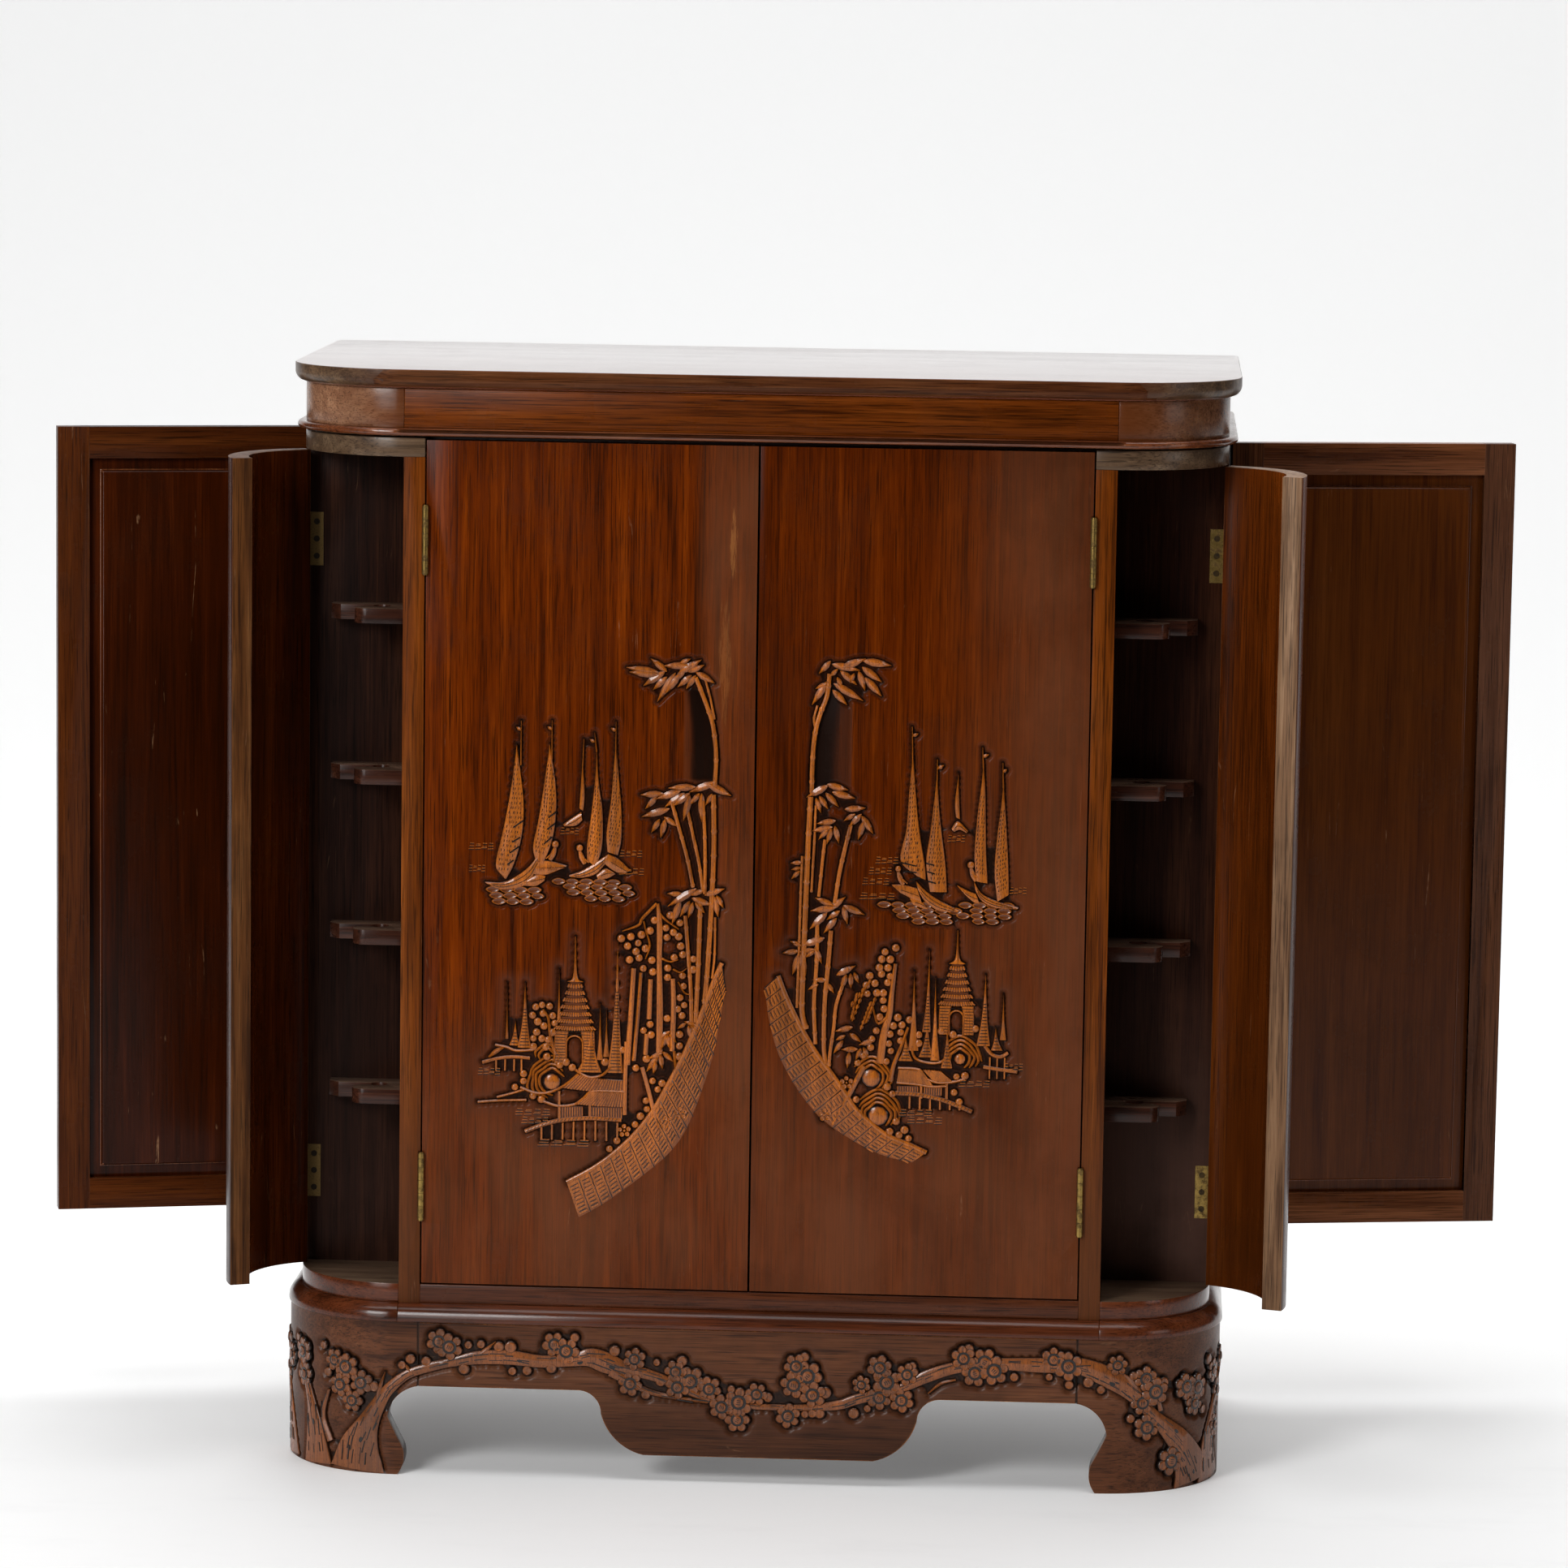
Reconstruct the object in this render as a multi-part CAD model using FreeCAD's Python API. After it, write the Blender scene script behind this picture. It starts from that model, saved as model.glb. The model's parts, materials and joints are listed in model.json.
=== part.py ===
# Bar cabinet with carved front doors, quarter-round corner doors, framed side doors and a lift-up lid.
# Millimetres, X to the right, Y to the back, +Z up. The pieces are built with Y = 0 on the front of the carcass and
# X = 0 at its middle. On export they move forward by half the depth, so the origin is on the floor at mid footprint.
import FreeCAD, Part
import collections
import os

V = FreeCAD.Vector

# Heights, from the floor up
BASE_H = 148.0              # floor to the ridge of the base moulding
OVOLO_H = 16.5              # base moulding
FLOOR_T = 18.0              # bottom board, bottom rail and corner floors
OPENING_H = 784.5           # clear height of the bays
COUNTER_T = 18.0            # counter board and corner tops
LID_GAP = 2.0               # shadow gap between the counter and the closed lid
BEAD_H = 7.0                # bead at the foot of the lid
FRIEZE_H = 37.0             # frieze of the lid
TOP_T = 18.0                # top board of the lid

# Plan of the carcass
HALF_W = 436.0              # middle to side
DEPTH = 420.0               # front to rear
CORNER_R = 104.0            # quarter-round front corners

# Carcass boards
STILE_W = 20.0
STILE_D = 30.0
STILE_TENON = 10.0          # square tenon of a stile in the corner top
RAIL_TENON_T = 6.0          # tenon of the bottom rail in a stile
RAIL_TENON_W = 14.0
RAIL_TENON_L = 12.0
TONGUE_T = 6.0              # tongue of the bottom board in the rail
TONGUE_L = 8.0
PARTITION_T = 18.0
CORNER_BACK_T = 14.0
BACK_T = 14.0               # back frame
BACK_POST_W = 30.0
BACK_RAIL_W = 40.0
BACK_PANEL_T = 5.0
BACK_GROOVE = 8.0           # depth of the groove for the back panel
BACK_TENON = 20.0

# Shelves
SHELF_T = 18.0
SHELF_Z = 563.0             # top of the middle shelf
SHELF_SETBACK = 40.0        # front of the middle shelf behind the carcass front
SIDE_SHELF_T = 15.0
SIDE_SHELF_Z = 560.0        # top of the side-bay shelves
BEARER_W = 15.0
BEARER_H = 20.0
SHELF_PLAY = 0.5            # end play of a loose shelf

# Glass holders in the corner bays
HOLDER_COUNT = 4
HOLDER_T = 14.0
HOLDER_FIRST_Z = 361.0      # top of the lowest holder
HOLDER_PITCH = 153.0
HOLDER_BACK_L = 78.0        # rear lobe, along the corner back board
HOLDER_BACK_W = 25.0
HOLDER_CLIP = 10.0          # clipped corner of the rear lobe
HOLDER_FRONT_L = 52.0       # front lobe
HOLDER_FRONT_W = 26.0
HOLDER_SLOT_W = 10.0        # slot for a glass stem, between the lobes
HOLDER_HOLE_R = 9.0         # round end of the slot
HOLDER_HOLE_X = 29.0        # hole centre from the partition

# Base
RIDGE_OVER = 13.0           # ridge of the base moulding beyond the carcass
OVOLO_LIP = 2.0             # upright lip under the ovolo
MOULDING_IN = 27.0          # inner edge of the moulding behind the carcass face
APRON_OVER = 11.0           # apron and feet beyond the carcass
APRON_T = 20.0
APRON_Z = 86.0              # lower edge of the aprons
DROP_Z = 25.0               # lower edge of the centre drop
DROP_CENTRE = 12.0          # hand-cut drop sits a little to the right
DROP_HALF_TOP = 172.5
DROP_HALF_FOOT = 109.0
FOOT_T = 25.0
FOOT_LEG = 20.0             # straight leg of a front foot past its round corner
FOOT_NOTCH = 9.0            # deepest point of the scrolled cut, past the end of the straight leg
FOOT_TOE = 7.0              # toe of the foot, short of the end of the straight leg
REAR_FOOT_L = 50.0
BLOCK_W = 30.0              # glue blocks
BLOCK_H = 58.0

# Front doors
DOOR_T = 19.0
DOOR_GAP = 1.5              # around a door, at its hinge edge and over its floor
DOOR_MEET_GAP = 2.0         # between the two front doors
DOOR_HEAD_GAP = 2.0         # front door below the top of the counter
DOOR_STOP_GAP = 1.0         # back of a closed front door to the counter edge

# Framed side doors
FRAME_W = 31.0
PANEL_TONGUE_T = 6.0
PANEL_GROOVE = 9.0
PANEL_PLAY = 0.3            # play of the panel and tenons in their grooves
PANEL_FIELD_T = 15.0
PANEL_MARGIN = 12.0         # flat round the raised field
PANEL_ROUND = 3.5
FRAME_TENON = 20.0

# Lid
TOP_OVER = 10.5             # top board beyond the carcass
TOP_BACK_OVER = 4.0
TOP_ROUND = 10.0            # round under the edge of the top board
TOP_ARRIS = 1.2
TOP_BACK_R = 8.0            # rear corners of the top board
BEAD_OVER = 8.0
FRIEZE_T = 18.0
PAD_R = 6.0                 # felt pads under the front corners of the lid

# Ball catches of the front doors
CATCH_R = 4.0
CATCH_L = 15.0
CATCH_NOSE = 0.6
CATCH_X = 30.0

# Butt hinges
FRONT_HINGE_L = 63.5
CORNER_HINGE_L = 50.8
SIDE_HINGE_L = 63.5
LID_HINGE_L = 63.5
FRONT_HINGE_INSET = 93.0    # hinge centre from the end of its door
CORNER_HINGE_INSET = 86.0
SIDE_HINGE_INSET = 90.0
LID_HINGE_X = 280.0
LEAF_T = 1.6
LEAF_W = 16.0               # leaf on the wood, past the face of the door
BARREL_R = 3.2
BARREL_PROUD = 2.2          # barrel centre in front of the face
PIN_R = 1.5
PIN_CLEAR = 0.05
PIN_HEAD_R = 2.4
PIN_HEAD_H = 1.0
KNUCKLES = 5
KNUCKLE_PLAY = 0.3
BARREL_CLEAR = 0.4          # wood cut back round the barrel
LEAF_CLEAR = 0.1
SCREWS_PER_LEAF = 3
SCREW_END = 9.0             # end screws from the end of the leaf
SCREW_HEAD_R = 2.9
SCREW_SHANK_R = 1.4
SCREW_L = 12.0
SCREW_CLEAR = 0.05

# Angles at rest, from closed, as the cabinet stands in the photograph
CORNER_DOOR_OPEN = {"left": 65.0, "right": 71.0}
SIDE_DOOR_OPEN = {"left": 75.0, "right": 101.0}

# Levels and lines that follow from the sizes
Z_FLOOR_UNDER = BASE_H + OVOLO_H
Z_FLOOR = Z_FLOOR_UNDER + FLOOR_T
Z_HEAD = Z_FLOOR + OPENING_H
Z_COUNTER = Z_HEAD + COUNTER_T
Z_LID = Z_COUNTER + LID_GAP
Z_FRIEZE = Z_LID + BEAD_H
Z_TOP_UNDER = Z_FRIEZE + FRIEZE_H
Z_TOP = Z_TOP_UNDER + TOP_T
CORNER_X = HALF_W - CORNER_R        # centre of a round corner, and outer face of a stile
OPEN_X = CORNER_X - STILE_W         # half width of the front door opening
WALL_X = CORNER_X - PARTITION_T     # inner face of a partition
BAY_Y = CORNER_R + CORNER_BACK_T    # front of a side bay
BACK_Y = DEPTH - BACK_T             # front of the back frame
DOOR_FOOT = Z_FLOOR + DOOR_GAP
DOOR_HEAD = Z_HEAD - DOOR_GAP
FRONT_DOOR_HEAD = Z_COUNTER - DOOR_HEAD_GAP
SIDE_FRONT_Y = BAY_Y + DOOR_GAP     # free edge of a closed side door
SIDE_REAR_Y = BACK_Y - DOOR_GAP     # hinge edge of a side door

nodes = {}


def box(x0, x1, y0, y1, z0, z1):
    return Part.makeBox(x1 - x0, y1 - y0, z1 - z0, V(x0, y0, z0))


def cylinder(radius, start, direction, length):
    return Part.makeCylinder(radius, length, start, direction)


def mirrored(shape):
    return shape.mirror(V(0, 0, 0), V(1, 0, 0))


def line(a, b):
    return Part.makeLine(a, b)


def arc(a, middle, b):
    return Part.Arc(a, middle, b).toShape()


def outline(*edges):
    return Part.Face(Part.Wire(list(edges)))


def polygon(points):
    corners = list(points) + [points[0]]
    return Part.Face(Part.makePolygon(corners))


def board(points, z0, z1):
    """Board of a flat outline, given as (x, y) corners, between two levels."""
    face = polygon([V(x, y, z0) for x, y in points])
    return face.extrude(V(0, 0, z1 - z0))


def add(name, *solids):
    nodes[name] = list(solids)


def add_pair(name, right):
    """The right piece and its mirror, as two nodes."""
    add(name + "_left", mirrored(right))
    add(name + "_right", right)


def add_both(name, *rights):
    """The right pieces and their mirrors, as one node of separate solids."""
    add(name, *rights, *[mirrored(piece) for piece in rights])


# Mouldings that run round the front, the corners and the sides. A profile is a face in the XZ plane, where X is the
# distance beyond the carcass face.
def along_front(profile, half_length):
    face = profile.copy()
    face.rotate(V(0, 0, 0), V(0, 0, 1), -90)
    face.translate(V(-half_length, 0, 0))
    return face.extrude(V(2 * half_length, 0, 0))


def round_corner(profile):
    face = profile.copy()
    face.translate(V(HALF_W, CORNER_R, 0))
    return face.revolve(V(CORNER_X, CORNER_R, 0), V(0, 0, 1), -90)


def along_side(profile, y0, y1):
    face = profile.copy()
    face.translate(V(HALF_W, y0, 0))
    return face.extrude(V(0, y1 - y0, 0))


def strip_profile(inner, outer, z0, z1):
    return polygon([V(inner, 0, z0), V(outer, 0, z0), V(outer, 0, z1), V(inner, 0, z1)])


def ovolo_profile():
    round_z = BASE_H + OVOLO_LIP
    rise = Z_FLOOR_UNDER - round_z
    inner_foot = V(-MOULDING_IN, 0, BASE_H)
    outer_foot = V(RIDGE_OVER, 0, BASE_H)
    lip = V(RIDGE_OVER, 0, round_z)
    head = V(0, 0, Z_FLOOR_UNDER)
    inner_head = V(-MOULDING_IN, 0, Z_FLOOR_UNDER)
    crown = V(RIDGE_OVER * 0.7071, 0, round_z + rise * 0.7071)
    return outline(line(inner_foot, outer_foot), line(outer_foot, lip), arc(lip, crown, head),
                   line(head, inner_head), line(inner_head, inner_foot))


def bead_profile():
    nose = BEAD_H / 2
    flat = BEAD_OVER - nose
    inner_foot = V(-FRIEZE_T, 0, Z_LID)
    foot = V(flat, 0, Z_LID)
    tip = V(BEAD_OVER, 0, Z_LID + nose)
    head = V(flat, 0, Z_FRIEZE)
    inner_head = V(-FRIEZE_T, 0, Z_FRIEZE)
    return outline(line(inner_foot, foot), arc(foot, tip, head), line(head, inner_head),
                   line(inner_head, inner_foot))


# Butt hinges, made in their own frame: X runs from the pin into the gap, Y from the fixed wood to the door, Z along
# the pin.
Hinge = collections.namedtuple("Hinge", "fixed_leaf door_leaf pin fixed_screws door_screws fixed_cuts door_cuts")


def screw(x, y, z, side):
    """Countersunk screw whose head lies at y, driven towards side (-1 the fixed wood, 1 the door)."""
    way = V(0, side, 0)
    head = Part.makeCone(SCREW_HEAD_R, SCREW_SHANK_R, LEAF_T, V(x, y, z), way)
    return head.fuse(cylinder(SCREW_SHANK_R, V(x, y, z), way, SCREW_L)).removeSplitter()


def screw_seat(x, y, z, side):
    way = V(0, side, 0)
    return Part.makeCone(SCREW_HEAD_R + SCREW_CLEAR, SCREW_SHANK_R + SCREW_CLEAR, LEAF_T, V(x, y, z), way)


def screw_pilot(x, y, z, side):
    return cylinder(SCREW_SHANK_R + SCREW_CLEAR, V(x, y, z), V(0, side, 0), SCREW_L + SCREW_CLEAR)


def make_hinge(length, gap):
    up = V(0, 0, 1)
    reach = BARREL_PROUD + LEAF_W
    knuckle = length / KNUCKLES
    screw_x = BARREL_PROUD + LEAF_W * 0.6
    screw_step = (length - 2 * SCREW_END) / (SCREWS_PER_LEAF - 1)
    screw_zs = [SCREW_END + index * screw_step for index in range(SCREWS_PER_LEAF)]
    bore = cylinder(PIN_R + PIN_CLEAR, V(0, 0, -1), up, length + 2)
    leaves = {}
    screws = {}
    cuts = {}
    for side, first in ((-1, 0), (1, 1)):
        face = side * gap / 2
        low, high = sorted((face, face + side * LEAF_T))
        leaf = box(0, reach, low, high, 0, length)
        rings = [cylinder(BARREL_R, V(0, 0, index * knuckle), up, knuckle) for index in range(first, KNUCKLES, 2)]
        spaces = [cylinder(BARREL_R + KNUCKLE_PLAY, V(0, 0, index * knuckle - KNUCKLE_PLAY / 2), up,
                           knuckle + KNUCKLE_PLAY) for index in range(1 - first, KNUCKLES, 2)]
        seats = [screw_seat(screw_x, face, z, side) for z in screw_zs]
        leaves[side] = leaf.fuse(rings).cut(spaces + [bore] + seats).removeSplitter()
        screws[side] = [screw(screw_x, face, z, side) for z in screw_zs]
        low, high = sorted((0, face + side * LEAF_T))
        recess = box(-BARREL_R, reach + LEAF_CLEAR, low, high, -LEAF_CLEAR, length + LEAF_CLEAR)
        relief = cylinder(BARREL_R + BARREL_CLEAR, V(0, 0, -2 * PIN_HEAD_H), up, length + 4 * PIN_HEAD_H)
        cuts[side] = [recess, relief] + [screw_pilot(screw_x, face, z, side) for z in screw_zs]
    pin = cylinder(PIN_R, V(0, 0, 0), up, length)
    heads = [cylinder(PIN_HEAD_R, V(0, 0, -PIN_HEAD_H - PIN_CLEAR), up, PIN_HEAD_H + PIN_CLEAR / 2),
             cylinder(PIN_HEAD_R, V(0, 0, length + PIN_CLEAR / 2), up, PIN_HEAD_H + PIN_CLEAR / 2)]
    necks = [cylinder(PIN_R, V(0, 0, -PIN_CLEAR), up, PIN_CLEAR), cylinder(PIN_R, V(0, 0, length), up, PIN_CLEAR)]
    pin = pin.fuse(heads + necks).removeSplitter()
    return Hinge(leaves[-1], leaves[1], pin, screws[-1], screws[1], cuts[-1], cuts[1])


def placed_hinge(hinge, origin, into_gap, to_door):
    """The hinge with its pin start at origin."""
    along = into_gap.cross(to_door)
    matrix = FreeCAD.Matrix(into_gap.x, to_door.x, along.x, origin.x,
                            into_gap.y, to_door.y, along.y, origin.y,
                            into_gap.z, to_door.z, along.z, origin.z, 0, 0, 0, 1)
    placement = FreeCAD.Placement(matrix)

    def put(shape):
        copy = shape.copy()
        copy.Placement = placement.multiply(copy.Placement)
        return copy

    return Hinge(put(hinge.fixed_leaf), put(hinge.door_leaf), put(hinge.pin),
                 [put(piece) for piece in hinge.fixed_screws], [put(piece) for piece in hinge.door_screws],
                 [put(piece) for piece in hinge.fixed_cuts], [put(piece) for piece in hinge.door_cuts])


def upright_hinges(length, pin_x, pin_y, foot, head, inset, into_gap, to_door):
    """Two hinges of one door, set in from its foot and its head."""
    hinge = make_hinge(length, DOOR_GAP)
    starts = (foot + inset - length / 2, head - inset - length / 2)
    return [placed_hinge(hinge, V(pin_x, pin_y, z), into_gap, to_door) for z in starts]


FRONT_PIN = (OPEN_X - DOOR_GAP / 2, -BARREL_PROUD)
CORNER_PIN = (HALF_W + BARREL_PROUD, CORNER_R - DOOR_GAP / 2)
SIDE_PIN = (HALF_W + BARREL_PROUD, BACK_Y - DOOR_GAP / 2)
LID_PIN = (DEPTH + BARREL_PROUD, Z_COUNTER + LID_GAP / 2)

front_hinges = upright_hinges(FRONT_HINGE_L, *FRONT_PIN, DOOR_FOOT, FRONT_DOOR_HEAD, FRONT_HINGE_INSET,
                              V(0, 1, 0), V(-1, 0, 0))
corner_hinges = upright_hinges(CORNER_HINGE_L, *CORNER_PIN, DOOR_FOOT, DOOR_HEAD, CORNER_HINGE_INSET,
                               V(-1, 0, 0), V(0, -1, 0))
side_hinges = upright_hinges(SIDE_HINGE_L, *SIDE_PIN, DOOR_FOOT, DOOR_HEAD, SIDE_HINGE_INSET,
                             V(-1, 0, 0), V(0, -1, 0))
lid_hinge = placed_hinge(make_hinge(LID_HINGE_L, LID_GAP), V(LID_HINGE_X + LID_HINGE_L / 2, *LID_PIN),
                         V(0, -1, 0), V(0, 0, 1))


def fixed_cuts(hinges):
    return [cut for hinge in hinges for cut in hinge.fixed_cuts]


def door_cuts(hinges):
    return [cut for hinge in hinges for cut in hinge.door_cuts]


def door_hardware(hinges):
    """Leaves and screws that swing with a door."""
    leaves = [hinge.door_leaf for hinge in hinges]
    return leaves + [piece for hinge in hinges for piece in hinge.door_screws]


def carcass_front():
    stile = box(OPEN_X, CORNER_X, 0, STILE_D, Z_FLOOR_UNDER, Z_HEAD)
    inset_x = (STILE_W - STILE_TENON) / 2
    inset_y = (STILE_D - STILE_TENON) / 2
    tenon = box(OPEN_X + inset_x, CORNER_X - inset_x, inset_y, STILE_D - inset_y, Z_HEAD, Z_HEAD + STILE_TENON)
    middle_z = Z_FLOOR_UNDER + FLOOR_T / 2
    tenon_y = (STILE_D - TONGUE_L - RAIL_TENON_W) / 2
    rail_tenons = [box(min(x, x + way * RAIL_TENON_L), max(x, x + way * RAIL_TENON_L), tenon_y,
                       tenon_y + RAIL_TENON_W, middle_z - RAIL_TENON_T / 2, middle_z + RAIL_TENON_T / 2)
                   for x, way in ((OPEN_X, 1), (-OPEN_X, -1))]
    add_pair("front_stile", stile.fuse(tenon).cut([rail_tenons[0]] + fixed_cuts(front_hinges)))

    tongue = box(-OPEN_X, OPEN_X, STILE_D - TONGUE_L, STILE_D, middle_z - TONGUE_T / 2, middle_z + TONGUE_T / 2)
    rail = box(-OPEN_X, OPEN_X, 0, STILE_D, Z_FLOOR_UNDER, Z_FLOOR)
    add("bottom_rail", rail.fuse(rail_tenons).cut(tongue))

    floor_points = [(-CORNER_X, STILE_D), (CORNER_X, STILE_D), (CORNER_X, BAY_Y), (HALF_W, BAY_Y), (HALF_W, DEPTH),
                    (-HALF_W, DEPTH), (-HALF_W, BAY_Y), (-CORNER_X, BAY_Y)]
    add("bottom_board", board(floor_points, Z_FLOOR_UNDER, Z_FLOOR).fuse(tongue).removeSplitter())

    add_pair("corner_floor", corner_board(CORNER_X, Z_FLOOR_UNDER, Z_FLOOR))
    add_pair("corner_top", corner_board(OPEN_X, Z_HEAD, Z_COUNTER).cut(tenon))


def corner_board(inner_x, z0, z1):
    """Board with a quarter-round front corner, from inner_x to the side."""
    half = CORNER_R * 0.7071
    points = [V(inner_x, 0, z0), V(CORNER_X, 0, z0), V(HALF_W, CORNER_R, z0), V(HALF_W, BAY_Y, z0),
              V(inner_x, BAY_Y, z0)]
    edges = [arc(points[1], V(CORNER_X + half, CORNER_R - half, z0), points[2]), line(points[2], points[3]),
             line(points[3], points[4]), line(points[4], points[0])]
    if inner_x < CORNER_X:
        edges.append(line(points[0], points[1]))
    return outline(*edges).extrude(V(0, 0, z1 - z0))


def carcass_walls():
    add_pair("partition", box(WALL_X, CORNER_X, STILE_D, BACK_Y, Z_FLOOR, Z_HEAD))
    corner_back = box(CORNER_X, HALF_W, CORNER_R, BAY_Y, Z_FLOOR, Z_HEAD)
    add_pair("corner_back", corner_back.cut(fixed_cuts(corner_hinges)))

    counter_y = DOOR_T + DOOR_STOP_GAP
    counter_points = [(-OPEN_X, counter_y), (OPEN_X, counter_y), (OPEN_X, BAY_Y), (HALF_W, BAY_Y), (HALF_W, DEPTH),
                      (-HALF_W, DEPTH), (-HALF_W, BAY_Y), (-OPEN_X, BAY_Y)]
    counter = board(counter_points, Z_HEAD, Z_COUNTER)
    lid_seats = lid_hinge.fixed_cuts + [mirrored(cut) for cut in lid_hinge.fixed_cuts]
    catch_z = Z_HEAD + COUNTER_T / 2
    catch_seats = [cylinder(CATCH_R, V(x, counter_y, catch_z), V(0, 1, 0), CATCH_L) for x in (-CATCH_X, CATCH_X)]
    add("counter_board", counter.cut(lid_seats + catch_seats))
    noses = [Part.makeCone(CATCH_R / 2, CATCH_R / 3, CATCH_NOSE, V(x, counter_y, catch_z), V(0, -1, 0))
             for x in (-CATCH_X, CATCH_X)]
    add("door_catches", *[seat.fuse(nose) for seat, nose in zip(catch_seats, noses)])


def carcass_back():
    middle_y = BACK_Y + BACK_T / 2
    panel_y = (middle_y - BACK_PANEL_T / 2, middle_y + BACK_PANEL_T / 2)
    post_x = HALF_W - BACK_POST_W
    rail_levels = ((Z_FLOOR, Z_FLOOR + BACK_RAIL_W), (Z_HEAD - BACK_RAIL_W, Z_HEAD))
    low_z = rail_levels[0][1]
    high_z = rail_levels[1][0]
    groove = box(-post_x - BACK_GROOVE, post_x + BACK_GROOVE, *panel_y, low_z - BACK_GROOVE, high_z + BACK_GROOVE)
    rails = []
    tenons = []
    for z0, z1 in rail_levels:
        tenon_z = (z0, z1 - BACK_GROOVE) if z0 == Z_FLOOR else (z0 + BACK_GROOVE, z1)
        tenon = box(-post_x - BACK_TENON, post_x + BACK_TENON, *panel_y, *tenon_z)
        tenons.append(tenon)
        rails.append(box(-post_x, post_x, BACK_Y, DEPTH, z0, z1).fuse(tenon).cut(groove).removeSplitter())
    post = box(post_x, HALF_W, BACK_Y, DEPTH, Z_FLOOR, Z_HEAD).cut([groove] + tenons + fixed_cuts(side_hinges))
    add("back_frame", post, mirrored(post), *rails)
    play = PANEL_PLAY
    add("back_panel", box(-post_x - BACK_GROOVE + play, post_x + BACK_GROOVE - play, *panel_y,
                          low_z - BACK_GROOVE, high_z + BACK_GROOVE - play))


def shelves():
    shelf_x = WALL_X - SHELF_PLAY
    add("middle_shelf", box(-shelf_x, shelf_x, SHELF_SETBACK, BACK_Y - SHELF_PLAY, SHELF_Z - SHELF_T, SHELF_Z))
    side_x = HALF_W - DOOR_T - SHELF_PLAY
    side_y = (BAY_Y + SHELF_PLAY, BACK_Y - SHELF_PLAY)
    side_foot = SIDE_SHELF_Z - SIDE_SHELF_T
    add_both("side_shelves", box(CORNER_X + SHELF_PLAY, side_x, *side_y, side_foot, SIDE_SHELF_Z))
    shelf_foot = SHELF_Z - SHELF_T
    add_both("shelf_bearers",
             box(WALL_X - BEARER_W, WALL_X, SHELF_SETBACK, BACK_Y, shelf_foot - BEARER_H, shelf_foot),
             box(CORNER_X, side_x, BAY_Y, BAY_Y + BEARER_W, side_foot - BEARER_H, side_foot),
             box(CORNER_X, side_x, BACK_Y - BEARER_W, BACK_Y, side_foot - BEARER_H, side_foot))


def glass_holder(top):
    """Two-lobed plate between the partition and the corner back board, with a keyhole slot."""
    z0 = top - HOLDER_T
    slot_y = CORNER_R - HOLDER_BACK_W
    front_y = slot_y - HOLDER_SLOT_W
    lobe_r = HOLDER_FRONT_W / 2
    tip_x = CORNER_X + HOLDER_BACK_L
    plate = board([(CORNER_X, CORNER_R), (CORNER_X, front_y), (CORNER_X + HOLDER_HOLE_X, front_y),
                   (CORNER_X + HOLDER_HOLE_X, slot_y), (tip_x - HOLDER_CLIP, slot_y), (tip_x, slot_y + HOLDER_CLIP),
                   (tip_x, CORNER_R)], z0, top)
    lobe = box(CORNER_X, CORNER_X + HOLDER_FRONT_L - lobe_r, front_y - HOLDER_FRONT_W, front_y, z0, top)
    lobe_end = cylinder(lobe_r, V(CORNER_X + HOLDER_FRONT_L - lobe_r, front_y - lobe_r, z0), V(0, 0, 1), HOLDER_T)
    hole = cylinder(HOLDER_HOLE_R, V(CORNER_X + HOLDER_HOLE_X, slot_y - HOLDER_SLOT_W / 2, z0), V(0, 0, 1), HOLDER_T)
    return plate.fuse([lobe, lobe_end]).cut(hole).removeSplitter()


def glass_holders():
    holders = [glass_holder(HOLDER_FIRST_Z + index * HOLDER_PITCH) for index in range(HOLDER_COUNT)]
    add("glass_holders_left", *[mirrored(holder) for holder in holders])
    add("glass_holders_right", *holders)


def apron_outline():
    """Front apron: straight lower edge with a centre drop between two scrolled shoulders."""
    y = -APRON_OVER
    fall = APRON_Z - DROP_Z
    run = DROP_HALF_TOP - DROP_HALF_FOOT

    def shoulder(side, along, down):
        return V(DROP_CENTRE + side * (DROP_HALF_TOP - along * run), y, APRON_Z - down * fall)

    shoulders = {}
    for side in (-1, 1):
        start, bend, turn, flare, end = [shoulder(side, *place) for place in
                                         ((0, 0), (0.22, 0.07), (0.36, 0.36), (0.56, 0.74), (1, 1))]
        shoulders[side] = (start, end, [arc(start, bend, turn), arc(turn, flare, end)])
    left_start, left_end, left_arcs = shoulders[-1]
    right_start, right_end, right_arcs = shoulders[1]
    top_left = V(-OPEN_X, y, BASE_H)
    top_right = V(OPEN_X, y, BASE_H)
    foot_left = V(-OPEN_X, y, APRON_Z)
    foot_right = V(OPEN_X, y, APRON_Z)
    return outline(line(top_left, foot_left), line(foot_left, left_start), *left_arcs, line(left_end, right_end),
                   right_arcs[1], right_arcs[0], line(right_start, foot_right), line(foot_right, top_right),
                   line(top_right, top_left))


def scroll_cut(place):
    """Face cut away beside a foot. place turns (distance past the round corner, level) into a point."""
    top = place(FOOT_LEG, APRON_Z)
    shoulder = place(2.0, APRON_Z * 0.9)
    notch = place(-FOOT_NOTCH, APRON_Z * 0.65)
    throat = place(-FOOT_NOTCH * 0.2, APRON_Z * 0.47)
    knee = place(5.0, APRON_Z * 0.32)
    shin = place(FOOT_TOE, APRON_Z * 0.19)
    toe = place(1.0, 0)
    outer_foot = place(2 * FOOT_LEG, 0)
    outer_head = place(2 * FOOT_LEG, APRON_Z)
    return outline(arc(top, shoulder, notch), arc(notch, throat, knee), arc(knee, shin, toe), line(toe, outer_foot),
                   line(outer_foot, outer_head), line(outer_head, top))


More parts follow.
